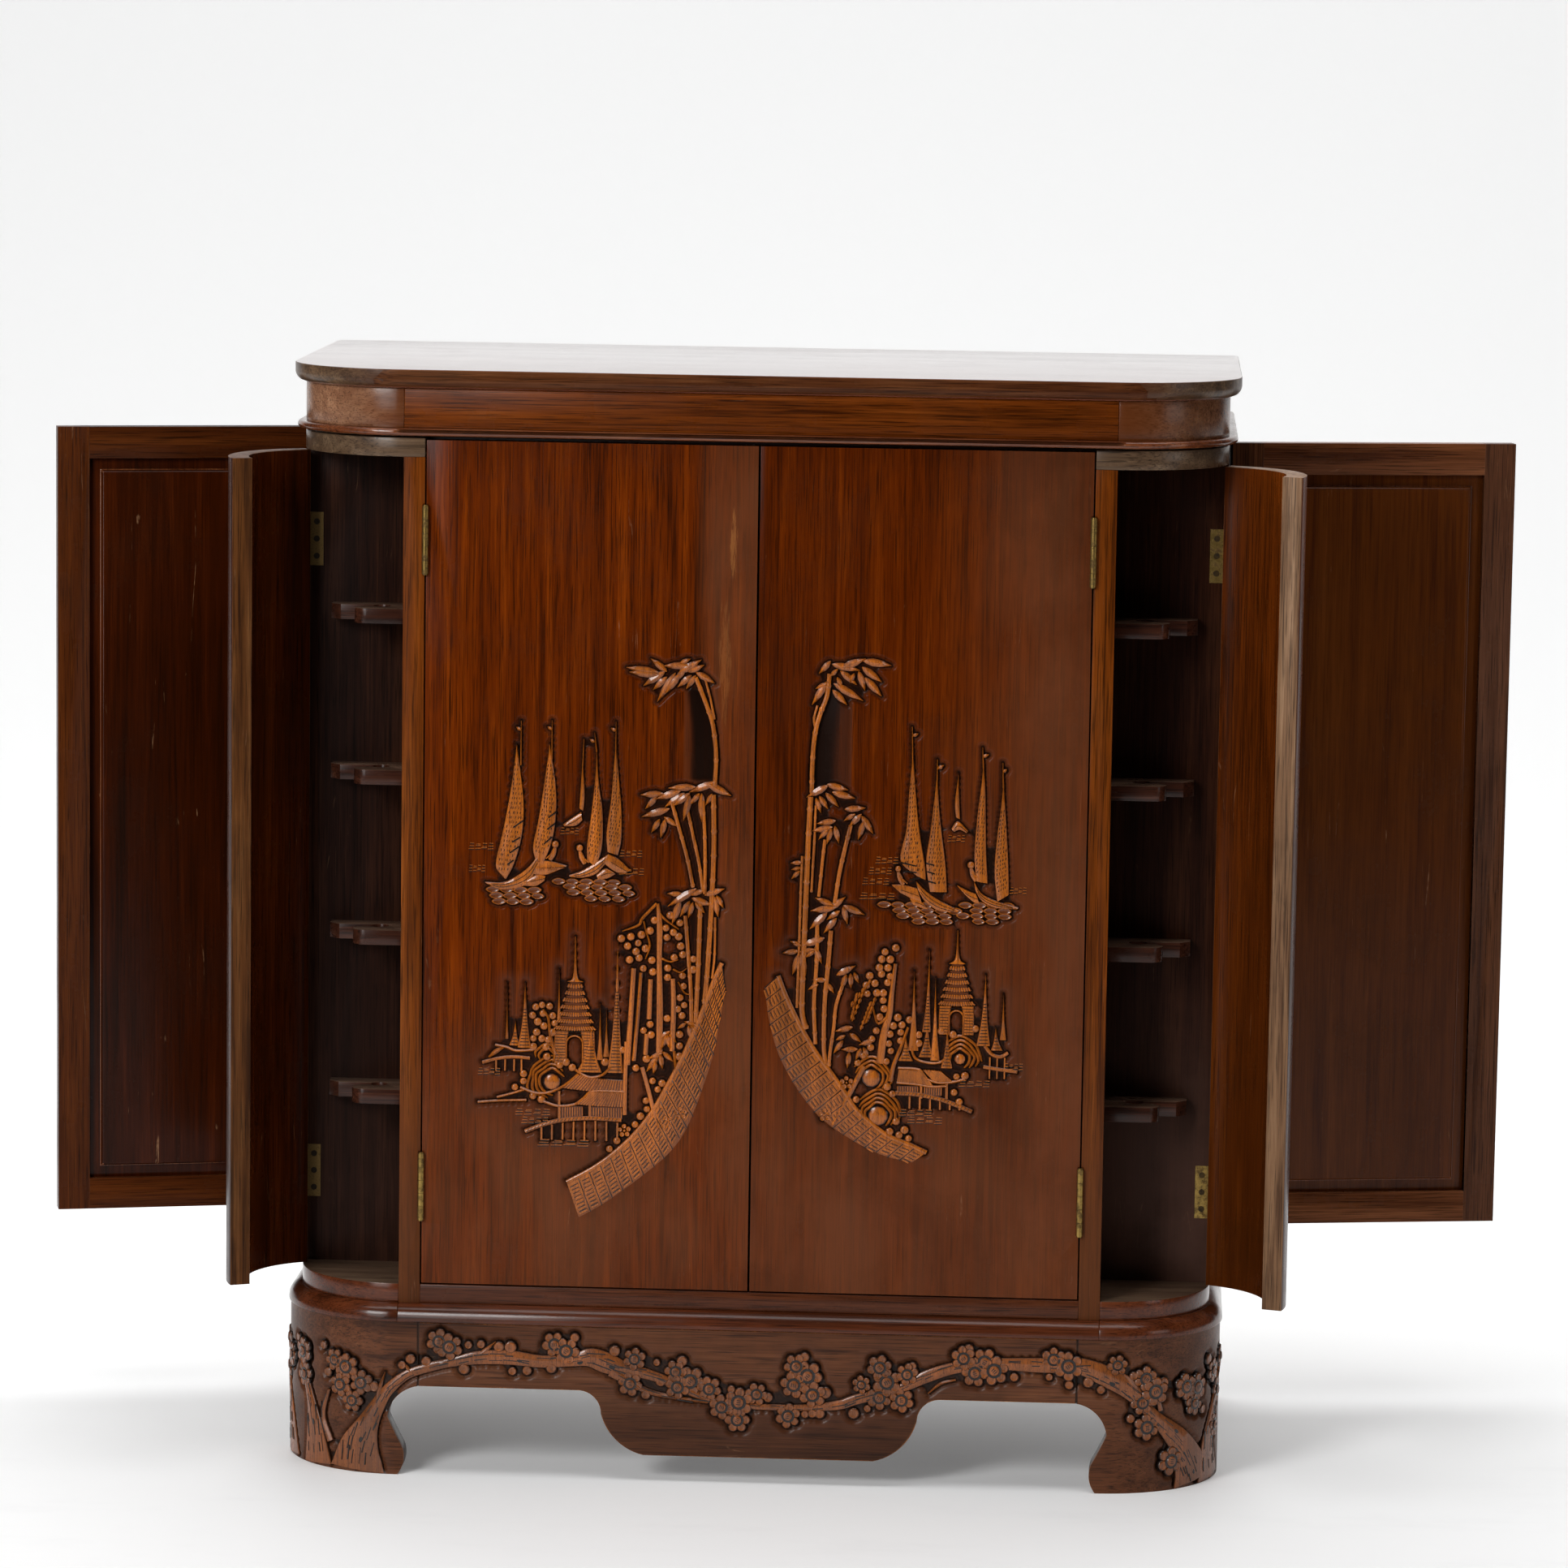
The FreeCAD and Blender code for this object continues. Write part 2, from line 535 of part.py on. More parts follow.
def base():
    front_y = -APRON_OVER
    foot_profile = strip_profile(APRON_OVER - FOOT_T, APRON_OVER, 0, BASE_H)
    leg_front = box(OPEN_X, CORNER_X, front_y, front_y + FOOT_T, 0, BASE_H)
    leg_end = CORNER_R + FOOT_LEG
    leg_side = along_side(foot_profile, CORNER_R, leg_end)
    foot = round_corner(foot_profile).fuse([leg_front, leg_side]).removeSplitter()
    front_cut = scroll_cut(lambda past, z: V(CORNER_X - past, front_y - FOOT_T, z)).extrude(V(0, 3 * FOOT_T, 0))
    side_cut = scroll_cut(lambda past, z: V(HALF_W - FOOT_T, CORNER_R + past, z)).extrude(V(3 * FOOT_T, 0, 0))
    add_pair("front_foot", foot.cut([front_cut, side_cut]))

    add("front_apron", apron_outline().extrude(V(0, APRON_T, 0)))

    outer_x = HALF_W + APRON_OVER
    rear_foot_y = DEPTH - REAR_FOOT_L
    rear_foot = box(outer_x - FOOT_T, outer_x, rear_foot_y, DEPTH, 0, BASE_H)
    rear_cut = scroll_cut(lambda past, z: V(outer_x - 2 * FOOT_T, rear_foot_y + FOOT_LEG - past, z))
    add_both("rear_feet", rear_foot.cut(rear_cut.extrude(V(3 * FOOT_T, 0, 0))))

    side_apron = box(outer_x - APRON_T, outer_x, leg_end, rear_foot_y, APRON_Z, BASE_H)
    inner_x = outer_x - FOOT_T
    rear_apron = box(-inner_x, inner_x, DEPTH - APRON_T, DEPTH, APRON_Z, BASE_H)
    add("plain_aprons", side_apron, mirrored(side_apron), rear_apron)

    block_foot = BASE_H - BLOCK_H
    block_face = strip_profile(APRON_OVER - FOOT_T - BLOCK_W, APRON_OVER - FOOT_T, block_foot, BASE_H)
    rear_block = box(inner_x - BLOCK_W, inner_x, DEPTH - APRON_T - BLOCK_W, DEPTH - APRON_T, block_foot, BASE_H)
    add_both("base_blocks", round_corner(block_face), rear_block)

    profile = ovolo_profile()
    add("base_moulding_front", along_front(profile, CORNER_X))
    add_both("base_moulding_returns", round_corner(profile), along_side(profile, CORNER_R, DEPTH))


def swung(shapes, pin, degrees):
    """The pieces turned about an upright pin."""
    turned = []
    for shape in shapes:
        copy = shape.copy()
        copy.rotate(V(pin[0], pin[1], 0), V(0, 0, 1), degrees)
        turned.append(copy)
    return turned


def add_doors(name, pin, angles, pieces):
    """Left and right door of a kind. pieces maps node endings to the solids of the closed right door."""
    for ending, solids in pieces.items():
        left = [mirrored(solid) for solid in solids]
        add(name + "_left" + ending, *swung(left, (-pin[0], pin[1]), -angles["left"]))
        add(name + "_right" + ending, *swung(solids, pin, angles["right"]))


def front_doors():
    slab = box(DOOR_MEET_GAP / 2, OPEN_X - DOOR_GAP, 0, DOOR_T, DOOR_FOOT, FRONT_DOOR_HEAD)
    pieces = {"": [slab.cut(door_cuts(front_hinges))], "_hinge_leaves": door_hardware(front_hinges)}
    add_doors("front_door", FRONT_PIN, {"left": 0.0, "right": 0.0}, pieces)


def corner_doors():
    height = DOOR_HEAD - DOOR_FOOT
    centre = V(CORNER_X, CORNER_R, DOOR_FOOT)
    shell = cylinder(CORNER_R, centre, V(0, 0, 1), height).cut(
        cylinder(CORNER_R - DOOR_T, centre, V(0, 0, 1), height))
    quarter = box(CORNER_X + DOOR_GAP, HALF_W + DOOR_T, -DOOR_T, CORNER_R - DOOR_GAP, DOOR_FOOT, DOOR_HEAD)
    door = shell.common(quarter).cut(door_cuts(corner_hinges))
    pieces = {"": [door], "_hinge_leaves": door_hardware(corner_hinges)}
    add_doors("corner_door", CORNER_PIN, CORNER_DOOR_OPEN, pieces)


def side_doors():
    x0 = HALF_W - DOOR_T
    y0 = SIDE_FRONT_Y
    y1 = SIDE_REAR_Y
    inner_y = (y0 + FRAME_W, y1 - FRAME_W)
    inner_z = (DOOR_FOOT + FRAME_W, DOOR_HEAD - FRAME_W)
    middle_x = x0 + DOOR_T / 2
    groove_x = (middle_x - PANEL_TONGUE_T / 2, middle_x + PANEL_TONGUE_T / 2)
    groove = box(*groove_x, inner_y[0] - PANEL_GROOVE, inner_y[1] + PANEL_GROOVE,
                 inner_z[0] - PANEL_GROOVE, inner_z[1] + PANEL_GROOVE)
    tenon_levels = ((DOOR_FOOT + PANEL_GROOVE, inner_z[0]), (inner_z[1], DOOR_HEAD - PANEL_GROOVE))
    mortises = [box(*groove_x, inner_y[0] - FRAME_TENON, inner_y[1] + FRAME_TENON, *levels)
                for levels in tenon_levels]
    tenon_x = (groove_x[0] + PANEL_PLAY, groove_x[1] - PANEL_PLAY)
    rails = []
    for rail_levels, (z0, z1) in zip(((DOOR_FOOT, inner_z[0]), (inner_z[1], DOOR_HEAD)), tenon_levels):
        tenon = box(*tenon_x, inner_y[0] - FRAME_TENON + PANEL_PLAY, inner_y[1] + FRAME_TENON - PANEL_PLAY, z0, z1)
        rail = box(x0, HALF_W, *inner_y, *rail_levels)
        rails.append(rail.fuse(tenon).cut(groove).removeSplitter())
    stiles = [box(x0, HALF_W, y0, inner_y[0], DOOR_FOOT, DOOR_HEAD).cut([groove] + mortises),
              box(x0, HALF_W, inner_y[1], y1, DOOR_FOOT, DOOR_HEAD).cut([groove] + mortises + door_cuts(side_hinges))]

    edge = PANEL_GROOVE - PANEL_PLAY
    sheet = box(*tenon_x, inner_y[0] - edge, inner_y[1] + edge, inner_z[0] - PANEL_GROOVE, inner_z[1] + edge)
    field = box(middle_x - PANEL_FIELD_T / 2, middle_x + PANEL_FIELD_T / 2, inner_y[0] + PANEL_MARGIN,
                inner_y[1] - PANEL_MARGIN, inner_z[0] + PANEL_MARGIN, inner_z[1] - PANEL_MARGIN)
    rims = [rim for rim in field.Edges if abs(rim.BoundBox.XLength) < 1e-6]
    panel = sheet.fuse(field.makeFillet(PANEL_ROUND, rims)).removeSplitter()
    pieces = {"_frame": stiles + rails, "_panel": [panel], "_hinge_leaves": door_hardware(side_hinges)}
    add_doors("side_door", SIDE_PIN, SIDE_DOOR_OPEN, pieces)


def top_board():
    half = HALF_W + TOP_OVER
    corner = CORNER_R + TOP_OVER
    rear = DEPTH + TOP_BACK_OVER
    bend = corner * 0.7071
    rear_bend = TOP_BACK_R * 0.2929
    z = Z_TOP_UNDER
    edges = [line(V(-CORNER_X, -TOP_OVER, z), V(CORNER_X, -TOP_OVER, z)),
             arc(V(CORNER_X, -TOP_OVER, z), V(CORNER_X + bend, CORNER_R - bend, z), V(half, CORNER_R, z)),
             line(V(half, CORNER_R, z), V(half, rear - TOP_BACK_R, z)),
             arc(V(half, rear - TOP_BACK_R, z), V(half - rear_bend, rear - rear_bend, z),
                 V(half - TOP_BACK_R, rear, z)),
             line(V(half - TOP_BACK_R, rear, z), V(-half + TOP_BACK_R, rear, z)),
             arc(V(-half + TOP_BACK_R, rear, z), V(-half + rear_bend, rear - rear_bend, z),
                 V(-half, rear - TOP_BACK_R, z)),
             line(V(-half, rear - TOP_BACK_R, z), V(-half, CORNER_R, z)),
             arc(V(-half, CORNER_R, z), V(-CORNER_X - bend, CORNER_R - bend, z), V(-CORNER_X, -TOP_OVER, z))]
    slab = outline(*edges).extrude(V(0, 0, TOP_T))

    def rim(level, last_y):
        return [edge for edge in slab.Edges
                if abs(edge.BoundBox.ZMin - level) < 1e-6 and edge.BoundBox.ZLength < 1e-6
                and edge.BoundBox.YMin < last_y]

    # The round runs along the front, the corners and the sides, and dies out at the rear corners
    under = cut_under_round(half, corner, rear)
    rounded = slab.makeFillet(TOP_ARRIS, rim(Z_TOP, rear + 1))
    return rounded.cut(under)


def cut_under_round(half, corner, rear):
    """What is cut away under the edge of the top board to leave its quarter round."""
    out = TOP_OVER + TOP_ROUND
    low = V(TOP_OVER - TOP_ROUND, 0, Z_TOP_UNDER)
    high = V(TOP_OVER, 0, Z_TOP_UNDER + TOP_ROUND)
    middle = V(TOP_OVER - TOP_ROUND * 0.2929, 0, Z_TOP_UNDER + TOP_ROUND * 0.2929)
    far_high = V(out, 0, Z_TOP_UNDER + TOP_ROUND)
    far_low = V(out, 0, Z_TOP_UNDER - TOP_ROUND)
    near_low = V(TOP_OVER - TOP_ROUND, 0, Z_TOP_UNDER - TOP_ROUND)
    profile = outline(arc(low, middle, high), line(high, far_high), line(far_high, far_low),
                      line(far_low, near_low), line(near_low, low))
    corner_cut = round_corner(profile)
    side_cut = along_side(profile, CORNER_R, rear + TOP_ROUND)
    return [along_front(profile, CORNER_X), corner_cut, mirrored(corner_cut), side_cut, mirrored(side_cut)]


def lid():
    add("lid_top", top_board())
    profile = strip_profile(-FRIEZE_T, 0, Z_FRIEZE, Z_TOP_UNDER)
    add("lid_frieze_front", along_front(profile, CORNER_X))
    add_both("lid_frieze_corners", round_corner(profile))
    add_both("lid_frieze_sides", along_side(profile, CORNER_R, DEPTH))
    inner_x = HALF_W - FRIEZE_T
    back = box(-inner_x, inner_x, DEPTH - FRIEZE_T, DEPTH, Z_LID, Z_TOP_UNDER)
    lid_seats = lid_hinge.door_cuts + [mirrored(cut) for cut in lid_hinge.door_cuts]
    add("lid_frieze_back", back.cut(lid_seats))
    bead = bead_profile()
    returns = [round_corner(bead), along_side(bead, CORNER_R, DEPTH)]
    add("lid_bead", along_front(bead, CORNER_X), *returns, *[mirrored(piece) for piece in returns])
    add_both("lid_hinge_leaves", *door_hardware([lid_hinge]))


def fixed_hardware():
    add_both("front_hinge_stile_leaves", *[hinge.fixed_leaf for hinge in front_hinges])
    add_both("corner_hinge_fixed_leaves", *[hinge.fixed_leaf for hinge in corner_hinges])
    add_both("side_hinge_post_leaves", *[hinge.fixed_leaf for hinge in side_hinges])
    add_both("lid_hinge_counter_leaves", lid_hinge.fixed_leaf)
    hinges = front_hinges + corner_hinges + side_hinges + [lid_hinge]
    add_both("hinge_pins", *[hinge.pin for hinge in hinges])
    add_both("fixed_hinge_screws", *[piece for hinge in hinges for piece in hinge.fixed_screws])
    pad_x = CORNER_X + CORNER_R / 2
    pad_y = CORNER_R / 2 - FRIEZE_T
    add_both("lid_pads", cylinder(PAD_R, V(pad_x, pad_y, Z_COUNTER), V(0, 0, 1), LID_GAP))


def main():
    carcass_front()
    carcass_walls()
    carcass_back()
    shelves()
    glass_holders()
    base()
    front_doors()
    corner_doors()
    side_doors()
    lid()
    fixed_hardware()
    os.makedirs("parts", exist_ok=True)
    to_origin = V(0, -DEPTH / 2, 0)
    for name, solids in nodes.items():
        pieces = [solid for shape in solids for solid in shape.Solids]
        for piece in pieces:
            piece.translate(to_origin)
        shape = pieces[0] if len(pieces) == 1 else Part.makeCompound(pieces)
        if not shape.isValid():
            raise ValueError(name + " is not a valid shape")
        shape.exportStep(os.path.join("parts", name + ".step"))
    print(len(nodes), "nodes,", sum(len(shape.Solids) for solids in nodes.values() for shape in solids), "solids")


main()
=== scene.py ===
# Looks of the carved bar cabinet: softened timber, carved doors and base, aged brass, a pale studio.
import bmesh
import bpy
import json
import math
import numpy as np
from mathutils import Matrix, Vector, kdtree


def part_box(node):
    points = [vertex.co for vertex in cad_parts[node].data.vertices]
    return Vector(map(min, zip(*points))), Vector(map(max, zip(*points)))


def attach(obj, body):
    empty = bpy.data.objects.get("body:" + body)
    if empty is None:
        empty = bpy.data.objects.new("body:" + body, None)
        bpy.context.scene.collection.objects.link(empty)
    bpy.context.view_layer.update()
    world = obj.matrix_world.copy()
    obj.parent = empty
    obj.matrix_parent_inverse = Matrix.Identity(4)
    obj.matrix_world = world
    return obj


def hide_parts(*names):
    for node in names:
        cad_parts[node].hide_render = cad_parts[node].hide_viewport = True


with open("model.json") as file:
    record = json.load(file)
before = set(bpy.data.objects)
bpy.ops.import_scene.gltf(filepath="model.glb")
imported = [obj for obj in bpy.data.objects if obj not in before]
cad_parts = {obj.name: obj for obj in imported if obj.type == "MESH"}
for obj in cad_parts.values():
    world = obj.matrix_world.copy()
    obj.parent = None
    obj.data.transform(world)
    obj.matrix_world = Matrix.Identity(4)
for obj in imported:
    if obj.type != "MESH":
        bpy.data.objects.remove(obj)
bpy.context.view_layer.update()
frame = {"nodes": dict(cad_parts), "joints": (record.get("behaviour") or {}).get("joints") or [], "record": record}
NODES = frame["nodes"]
BODY_OF = {node: body for body, members in frame["record"]["behaviour"]["bodies"].items() for node in members}
SLOT_OF = {part["node"]: part["material_slot"] for part in frame["record"]["subparts"]}
REST_ANGLE = {joint["child"]: -joint["range_deg"][0] for joint in frame["joints"]}

MM = 0.001
MERGE = 1e-6                # points nearer than this are one
RAIL_HEIGHT = 0.2           # frame members lower than this are rails
LEVEL = math.radians(0.5)   # faces that turn less than this are one
ARRIS = math.radians(40)    # edges sharper than this are rounded
CRISP_TIMBER = math.radians(32)     # edges sharper than this are shaded sharp, on timber
CRISP_CARVING = math.radians(38)    # and on carving

# Places read from the frame, in millimetres
DOOR_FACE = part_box("front_door_left")[0].y / MM
DOOR_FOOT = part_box("front_door_left")[0].z / MM
DOOR_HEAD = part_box("front_door_left")[1].z / MM
DOOR_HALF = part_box("front_door_right")[1].x / MM
BASE_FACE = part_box("front_apron")[0].y / MM
BASE_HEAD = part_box("front_apron")[1].z / MM
APRON_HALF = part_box("front_apron")[1].x / MM
CORNER_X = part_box("base_moulding_front")[1].x / MM
BASE_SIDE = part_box("front_foot_right")[1].x / MM
FOOT_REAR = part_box("front_foot_right")[1].y / MM
BASE_R = BASE_SIDE - CORNER_X
CORNER_Y = BASE_FACE + BASE_R

# Carving, lengths in millimetres
SINK = 3.2                  # ground of the carving below the uncut face
HALO = 5.0                  # how far the ground is cut back round a carved shape
GAP = 5.2                   # shapes nearer than twice this have the whole ground between them cut away
GAP_EDGE = 1.2              # in such a gap the ground falls from this far off the shapes,
GAP_RUN = 1.6               # over this width,
GAP_SHARE = 0.8             # by this share of the way down
SCOOP_RIM = 1.0             # depth of a scoop at its plain edge,
SCOOP_FALL = 3.2            # and how much deeper it is at the stem
SCOOP_FOOT = 8.0            # height over which it runs out at its foot,
SCOOP_HEAD = 14.0           # and at its head
SCOOP_BLACK = 0.45          # share of its width over which its painted shade blackens
SOLE = 0.6                  # carved shapes end this far above the floor
TIER = 6.7                  # height of one pagoda roof
WALL = 0.8                  # the ground is at its full depth this far from a carved shape
RIM = 0.8                   # uncut rim at the head and foot of the base,
RIM_RUN = 3.0               # and the width over which the ground falls from it
FIRST_CUT = 2.0             # lowest row of cells on the base
SCRAPED = 18.0              # how far the scraped, greyer wood reaches from a carved shape
SCRAPED_MARK = 0.1          # scrape_and_shade attribute of wood that is only scraped
SHORE_HEAD = 560.0          # height at which the scraped wood ends, above the shore scenes
SHORE_FADE = 60.0           # height over which it fades
SHADE_AND_DIRT = (17, 10, 7)         # tone of the painted shade in the carved ground and of old dirt
SHADE_REACH = 3.2           # how far the painted shade spreads from a carved shape
DOOR_CELL = 1.3             # cells of the carved door faces
BASE_CELL = 1.6             # cells of the carved base
ON_FACE = 0.35              # points nearer than this lie on the carved face
SOFT_EDGE = 0.9             # rounded arris of the timber
STALK_FLATNESS = 0.6        # height of a bamboo stalk to its width
STALK_STEP = 1.2            # spacing of the sections along a stalk
STALK_WAIST = -0.7          # below this a stalk runs straight down into the ground
RIBBON_POINTS = 7           # points in a section of a raised strip
SEED = 11

# Carved fields of the doors, in millimetres: left, right, foot and head
LEFT_FIELD = (-275.0, -15.0, 240.0, 795.0)
RIGHT_FIELD = (8.0, 264.0, 298.0, 795.0)

# The scoop of each door: its plain edge, the stem on its other side, its painted shade at the edge, and
# where that shade begins to blacken. The greyer edge of the right door's scoop is a painted sheen.
LEFT_STEM = [(-57, 766), (-48, 744), (-41, 724), (-38, 705), (-37, 686), (-38, 664)]
RIGHT_STEM = [(68, 772), (66, 752), (60, 735), (56, 720), (54, 704), (53, 680), (53, 660)]
LEFT_SCOOP = (-68.0, LEFT_STEM, 0.1, 0.0)
RIGHT_SCOOP = (89.0, RIGHT_STEM, 0.45, 0.2)


def linear(red, green, blue, share=1.0):
    """A paint-chart colour, 0 to 255, brought to a share of its tone, as linear light."""
    parts = [min(c * share, 255) / 255 for c in (red, green, blue)]
    return [c / 12.92 if c <= 0.04045 else ((c + 0.055) / 1.055) ** 2.4 for c in parts] + [1.0]


# Shader building

def fed(tree, node, inputs):
    """Sets inputs of a node, each from a value or from another node's output."""
    for name, value in inputs.items():
        if isinstance(value, bpy.types.NodeSocket):
            tree.links.new(value, node.inputs[name])
        else:
            node.inputs[name].default_value = value
    return node


def shader(tree, kind, inputs=None, **settings):
    made = tree.nodes.new(kind)
    for name, value in settings.items():
        setattr(made, name, value)
    return fed(tree, made, inputs or {})


def maths(tree, operation, a, b=0.0):
    return shader(tree, "ShaderNodeMath", {0: a, 1: b}, operation=operation).outputs[0]


def times(tree, a, b):
    return maths(tree, "MULTIPLY", a, b)


def axes(tree, place):
    return shader(tree, "ShaderNodeSeparateXYZ", {0: place}).outputs


def ramp(tree, value, low, high, to_low=0.0, to_high=1.0):
    """Value from low to high, eased and clamped to the new range."""
    made = shader(tree, "ShaderNodeMapRange",
                  {"Value": value, "From Min": low, "From Max": high, "To Min": to_low, "To Max": to_high},
                  interpolation_type="SMOOTHSTEP")
    return made.outputs[0]


def mixed(tree, factor, a, b):
    return shader(tree, "ShaderNodeMix", {0: factor, 6: a, 7: b}, data_type="RGBA").outputs[2]


def noise(tree, place, scale, detail, roughness, distortion=0.0):
    made = shader(tree, "ShaderNodeTexNoise", {"Vector": place, "Scale": scale, "Detail": detail,
                                               "Roughness": roughness, "Distortion": distortion})
    return made.outputs[0]


def stretched(tree, place, scale, turn=(0, 0, 0), shift=(0, 0, 0)):
    made = shader(tree, "ShaderNodeMapping", {"Vector": place, "Scale": scale, "Rotation": turn,
                                              "Location": shift})
    return made.outputs[0]


def grained(tree, place, stretch, scale, detail, roughness, distortion=0.0):
    """Noise that is drawn out along Z."""
    return noise(tree, stretched(tree, place, (1, 1, stretch)), scale, detail, roughness, distortion)


def bumped(tree, strength, distance, height):
    """A bumped normal, its distance in millimetres."""
    inputs = {"Strength": strength, "Distance": distance * MM, "Height": height}
    return shader(tree, "ShaderNodeBump", inputs).outputs[0]


SOCKETS = {"vector": "NodeSocketVector", "value": "NodeSocketFloat", "colour": "NodeSocketColor",
           "geometry": "NodeSocketGeometry", "object": "NodeSocketObject", "count": "NodeSocketInt",
           "material": "NodeSocketMaterial"}


def new_group(name, inputs, outputs, family="ShaderNodeTree"):
    """An empty node group with named sockets: the tree, its inputs and its output node."""
    tree = bpy.data.node_groups.new(name, family)
    for way, sockets in (("INPUT", inputs), ("OUTPUT", outputs)):
        for label, kind in sockets.items():
            tree.interface.new_socket(label, in_out=way, socket_type=SOCKETS[kind])
    return tree, tree.nodes.new("NodeGroupInput").outputs, tree.nodes.new("NodeGroupOutput")


def make_timber_group():
    """Grain that runs along Z: broad figure, fine fibre and short dark pores."""
    inputs = {"Place": "vector", "Figure": "value", "Waviness": "value", "Dark": "colour", "Middle": "colour",
              "Light": "colour", "Pore": "colour", "Drawing": "value"}
    outputs = {"Color": "colour", "Height": "value", "Sheen": "value"}
    tree, enter, leave = new_group("timber", inputs, outputs)
    place = enter["Place"]
    figure = grained(tree, place, 0.045, enter["Figure"], 5, 0.6, enter["Waviness"])
    fibre = grained(tree, place, 0.022, 420, 4, 0.62)
    pores = ramp(tree, grained(tree, place, 0.024, 820, 2, 0.55), 0.53, 0.66)
    lines = ramp(tree, grained(tree, place, 0.014, 330, 4, 0.66), 0.53, 0.68)
    cloud = noise(tree, place, 4.5, 3, 0.5)
    tone = maths(tree, "ADD", times(tree, figure, 0.5), times(tree, fibre, 0.28))
    tone = maths(tree, "ADD", tone, times(tree, cloud, 0.22))
    deep = mixed(tree, ramp(tree, tone, 0.37, 0.51), enter["Dark"], enter["Middle"])
    bright = mixed(tree, ramp(tree, tone, 0.49, 0.64), deep, enter["Light"])
    ink = times(tree, enter["Drawing"], 0.45)
    drawn = mixed(tree, times(tree, lines, ink), bright, enter["Pore"])
    ink = times(tree, enter["Drawing"], 0.62)
    colour = mixed(tree, times(tree, pores, ink), drawn, enter["Pore"])
    height = maths(tree, "SUBTRACT", times(tree, fibre, 0.5), pores)
    fed(tree, leave, {"Color": colour, "Height": height, "Sheen": ramp(tree, tone, 0.3, 0.7)})
    return tree


def make_scuff_group():
    """Hair-thin scratches in broken runs, and soft clouds of grime."""
    tree, enter, leave = new_group("scuffs", {"Place": "vector", "Scale": "value"},
                                   {"Scratches": "value", "Grime": "value"})
    slanted = stretched(tree, enter["Place"], (1, 1, 0.06), (0.04, 0.03, 0.0))
    lines = noise(tree, slanted, enter["Scale"], 2, 0.5, 0.1)
    off = maths(tree, "ABSOLUTE", maths(tree, "SUBTRACT", lines, 0.5))
    hair = ramp(tree, off, 0.0, 0.006, 1.0, 0.0)
    runs = ramp(tree, grained(tree, enter["Place"], 0.5, 34, 4, 0.7), 0.58, 0.7)
    grime = ramp(tree, noise(tree, enter["Place"], 9, 5, 0.65), 0.42, 0.7)
    fed(tree, leave, {"Scratches": times(tree, hair, runs), "Grime": grime})
    return tree


def make_patch_group():
    """A worn patch: ragged noise that fades out from a centre."""
    inputs = {"Place": "vector", "Centre": "vector", "Reach": "vector", "Raggedness": "value"}
    tree, enter, leave = new_group("worn_patch", inputs, {"Mask": "value"})
    offset = shader(tree, "ShaderNodeVectorMath", {0: enter["Place"], 1: enter["Centre"]},
                    operation="SUBTRACT")
    share = shader(tree, "ShaderNodeVectorMath", {0: offset.outputs[0], 1: enter["Reach"]},
                   operation="DIVIDE")
    far = shader(tree, "ShaderNodeVectorMath", {0: share.outputs[0]}, operation="LENGTH").outputs[1]
    rag = grained(tree, enter["Place"], 0.09, enter["Raggedness"], 5, 0.7)
    near = ramp(tree, far, 0.0, 1.0, 1.0, 0.0)
    fed(tree, leave, {"Mask": ramp(tree, times(tree, near, rag), 0.34, 0.5)})
    return tree


TIMBER = make_timber_group()
SCUFFS = make_scuff_group()
PATCH = make_patch_group()

# Which way the grain runs: the turn that brings it along Z
UPRIGHT = (0.0, 0.0, 0.0)
ACROSS = (0.0, math.pi / 2, 0.0)


def placed_group(tree, group, inputs):
    return shader(tree, "ShaderNodeGroup", inputs, node_tree=group).outputs


def new_material(name):
    """A new material, its node tree, its surface node and the place of each point."""
    material = bpy.data.materials.new(name)
    material.use_nodes = True
    tree = material.node_tree
    return material, tree, tree.nodes["Principled BSDF"], shader(tree, "ShaderNodeTexCoord").outputs["Object"]


WOOD = {}


def wood(name, dark, middle, light, grain, figure, waviness, gloss, coat, scratch=0.25, grime=0.25,
         relief=0.05, shift=(0, 0, 0), tint=None, shine=0.2, drawing=1.0):
    """Adds a lacquered timber to WOOD. tint(tree, place, colour) may change its colour by place."""
    material, tree, surface, place = new_material(name + "_timber")
    grain_place = stretched(tree, place, (1, 1, 1), grain, shift)
    timber = placed_group(tree, TIMBER, {"Place": grain_place, "Figure": figure, "Waviness": waviness,
                                         "Dark": linear(*dark), "Middle": linear(*middle),
                                         "Light": linear(*light), "Pore": linear(*dark, 0.42),
                                         "Drawing": drawing})
    colour = timber["Color"]
    if tint:
        colour = tint(tree, place, colour)
    scuffs = placed_group(tree, SCUFFS, {"Place": grain_place, "Scale": 46.0})
    colour = mixed(tree, times(tree, scuffs["Grime"], grime), colour, linear(*dark, 0.55))
    colour = mixed(tree, times(tree, scuffs["Scratches"], scratch), colour, linear(176, 132, 96))
    rough = maths(tree, "ADD", gloss, times(tree, scuffs["Grime"], 0.04 + 0.3 * grime))
    rough = maths(tree, "SUBTRACT", rough, times(tree, timber["Sheen"], 0.07))
    fed(tree, surface, {"Base Color": colour, "Roughness": rough, "Specular IOR Level": shine,
                        "Coat Weight": coat, "Coat Roughness": 0.16,
                        "Normal": bumped(tree, 0.35, relief, timber["Height"])})
    WOOD[name] = material


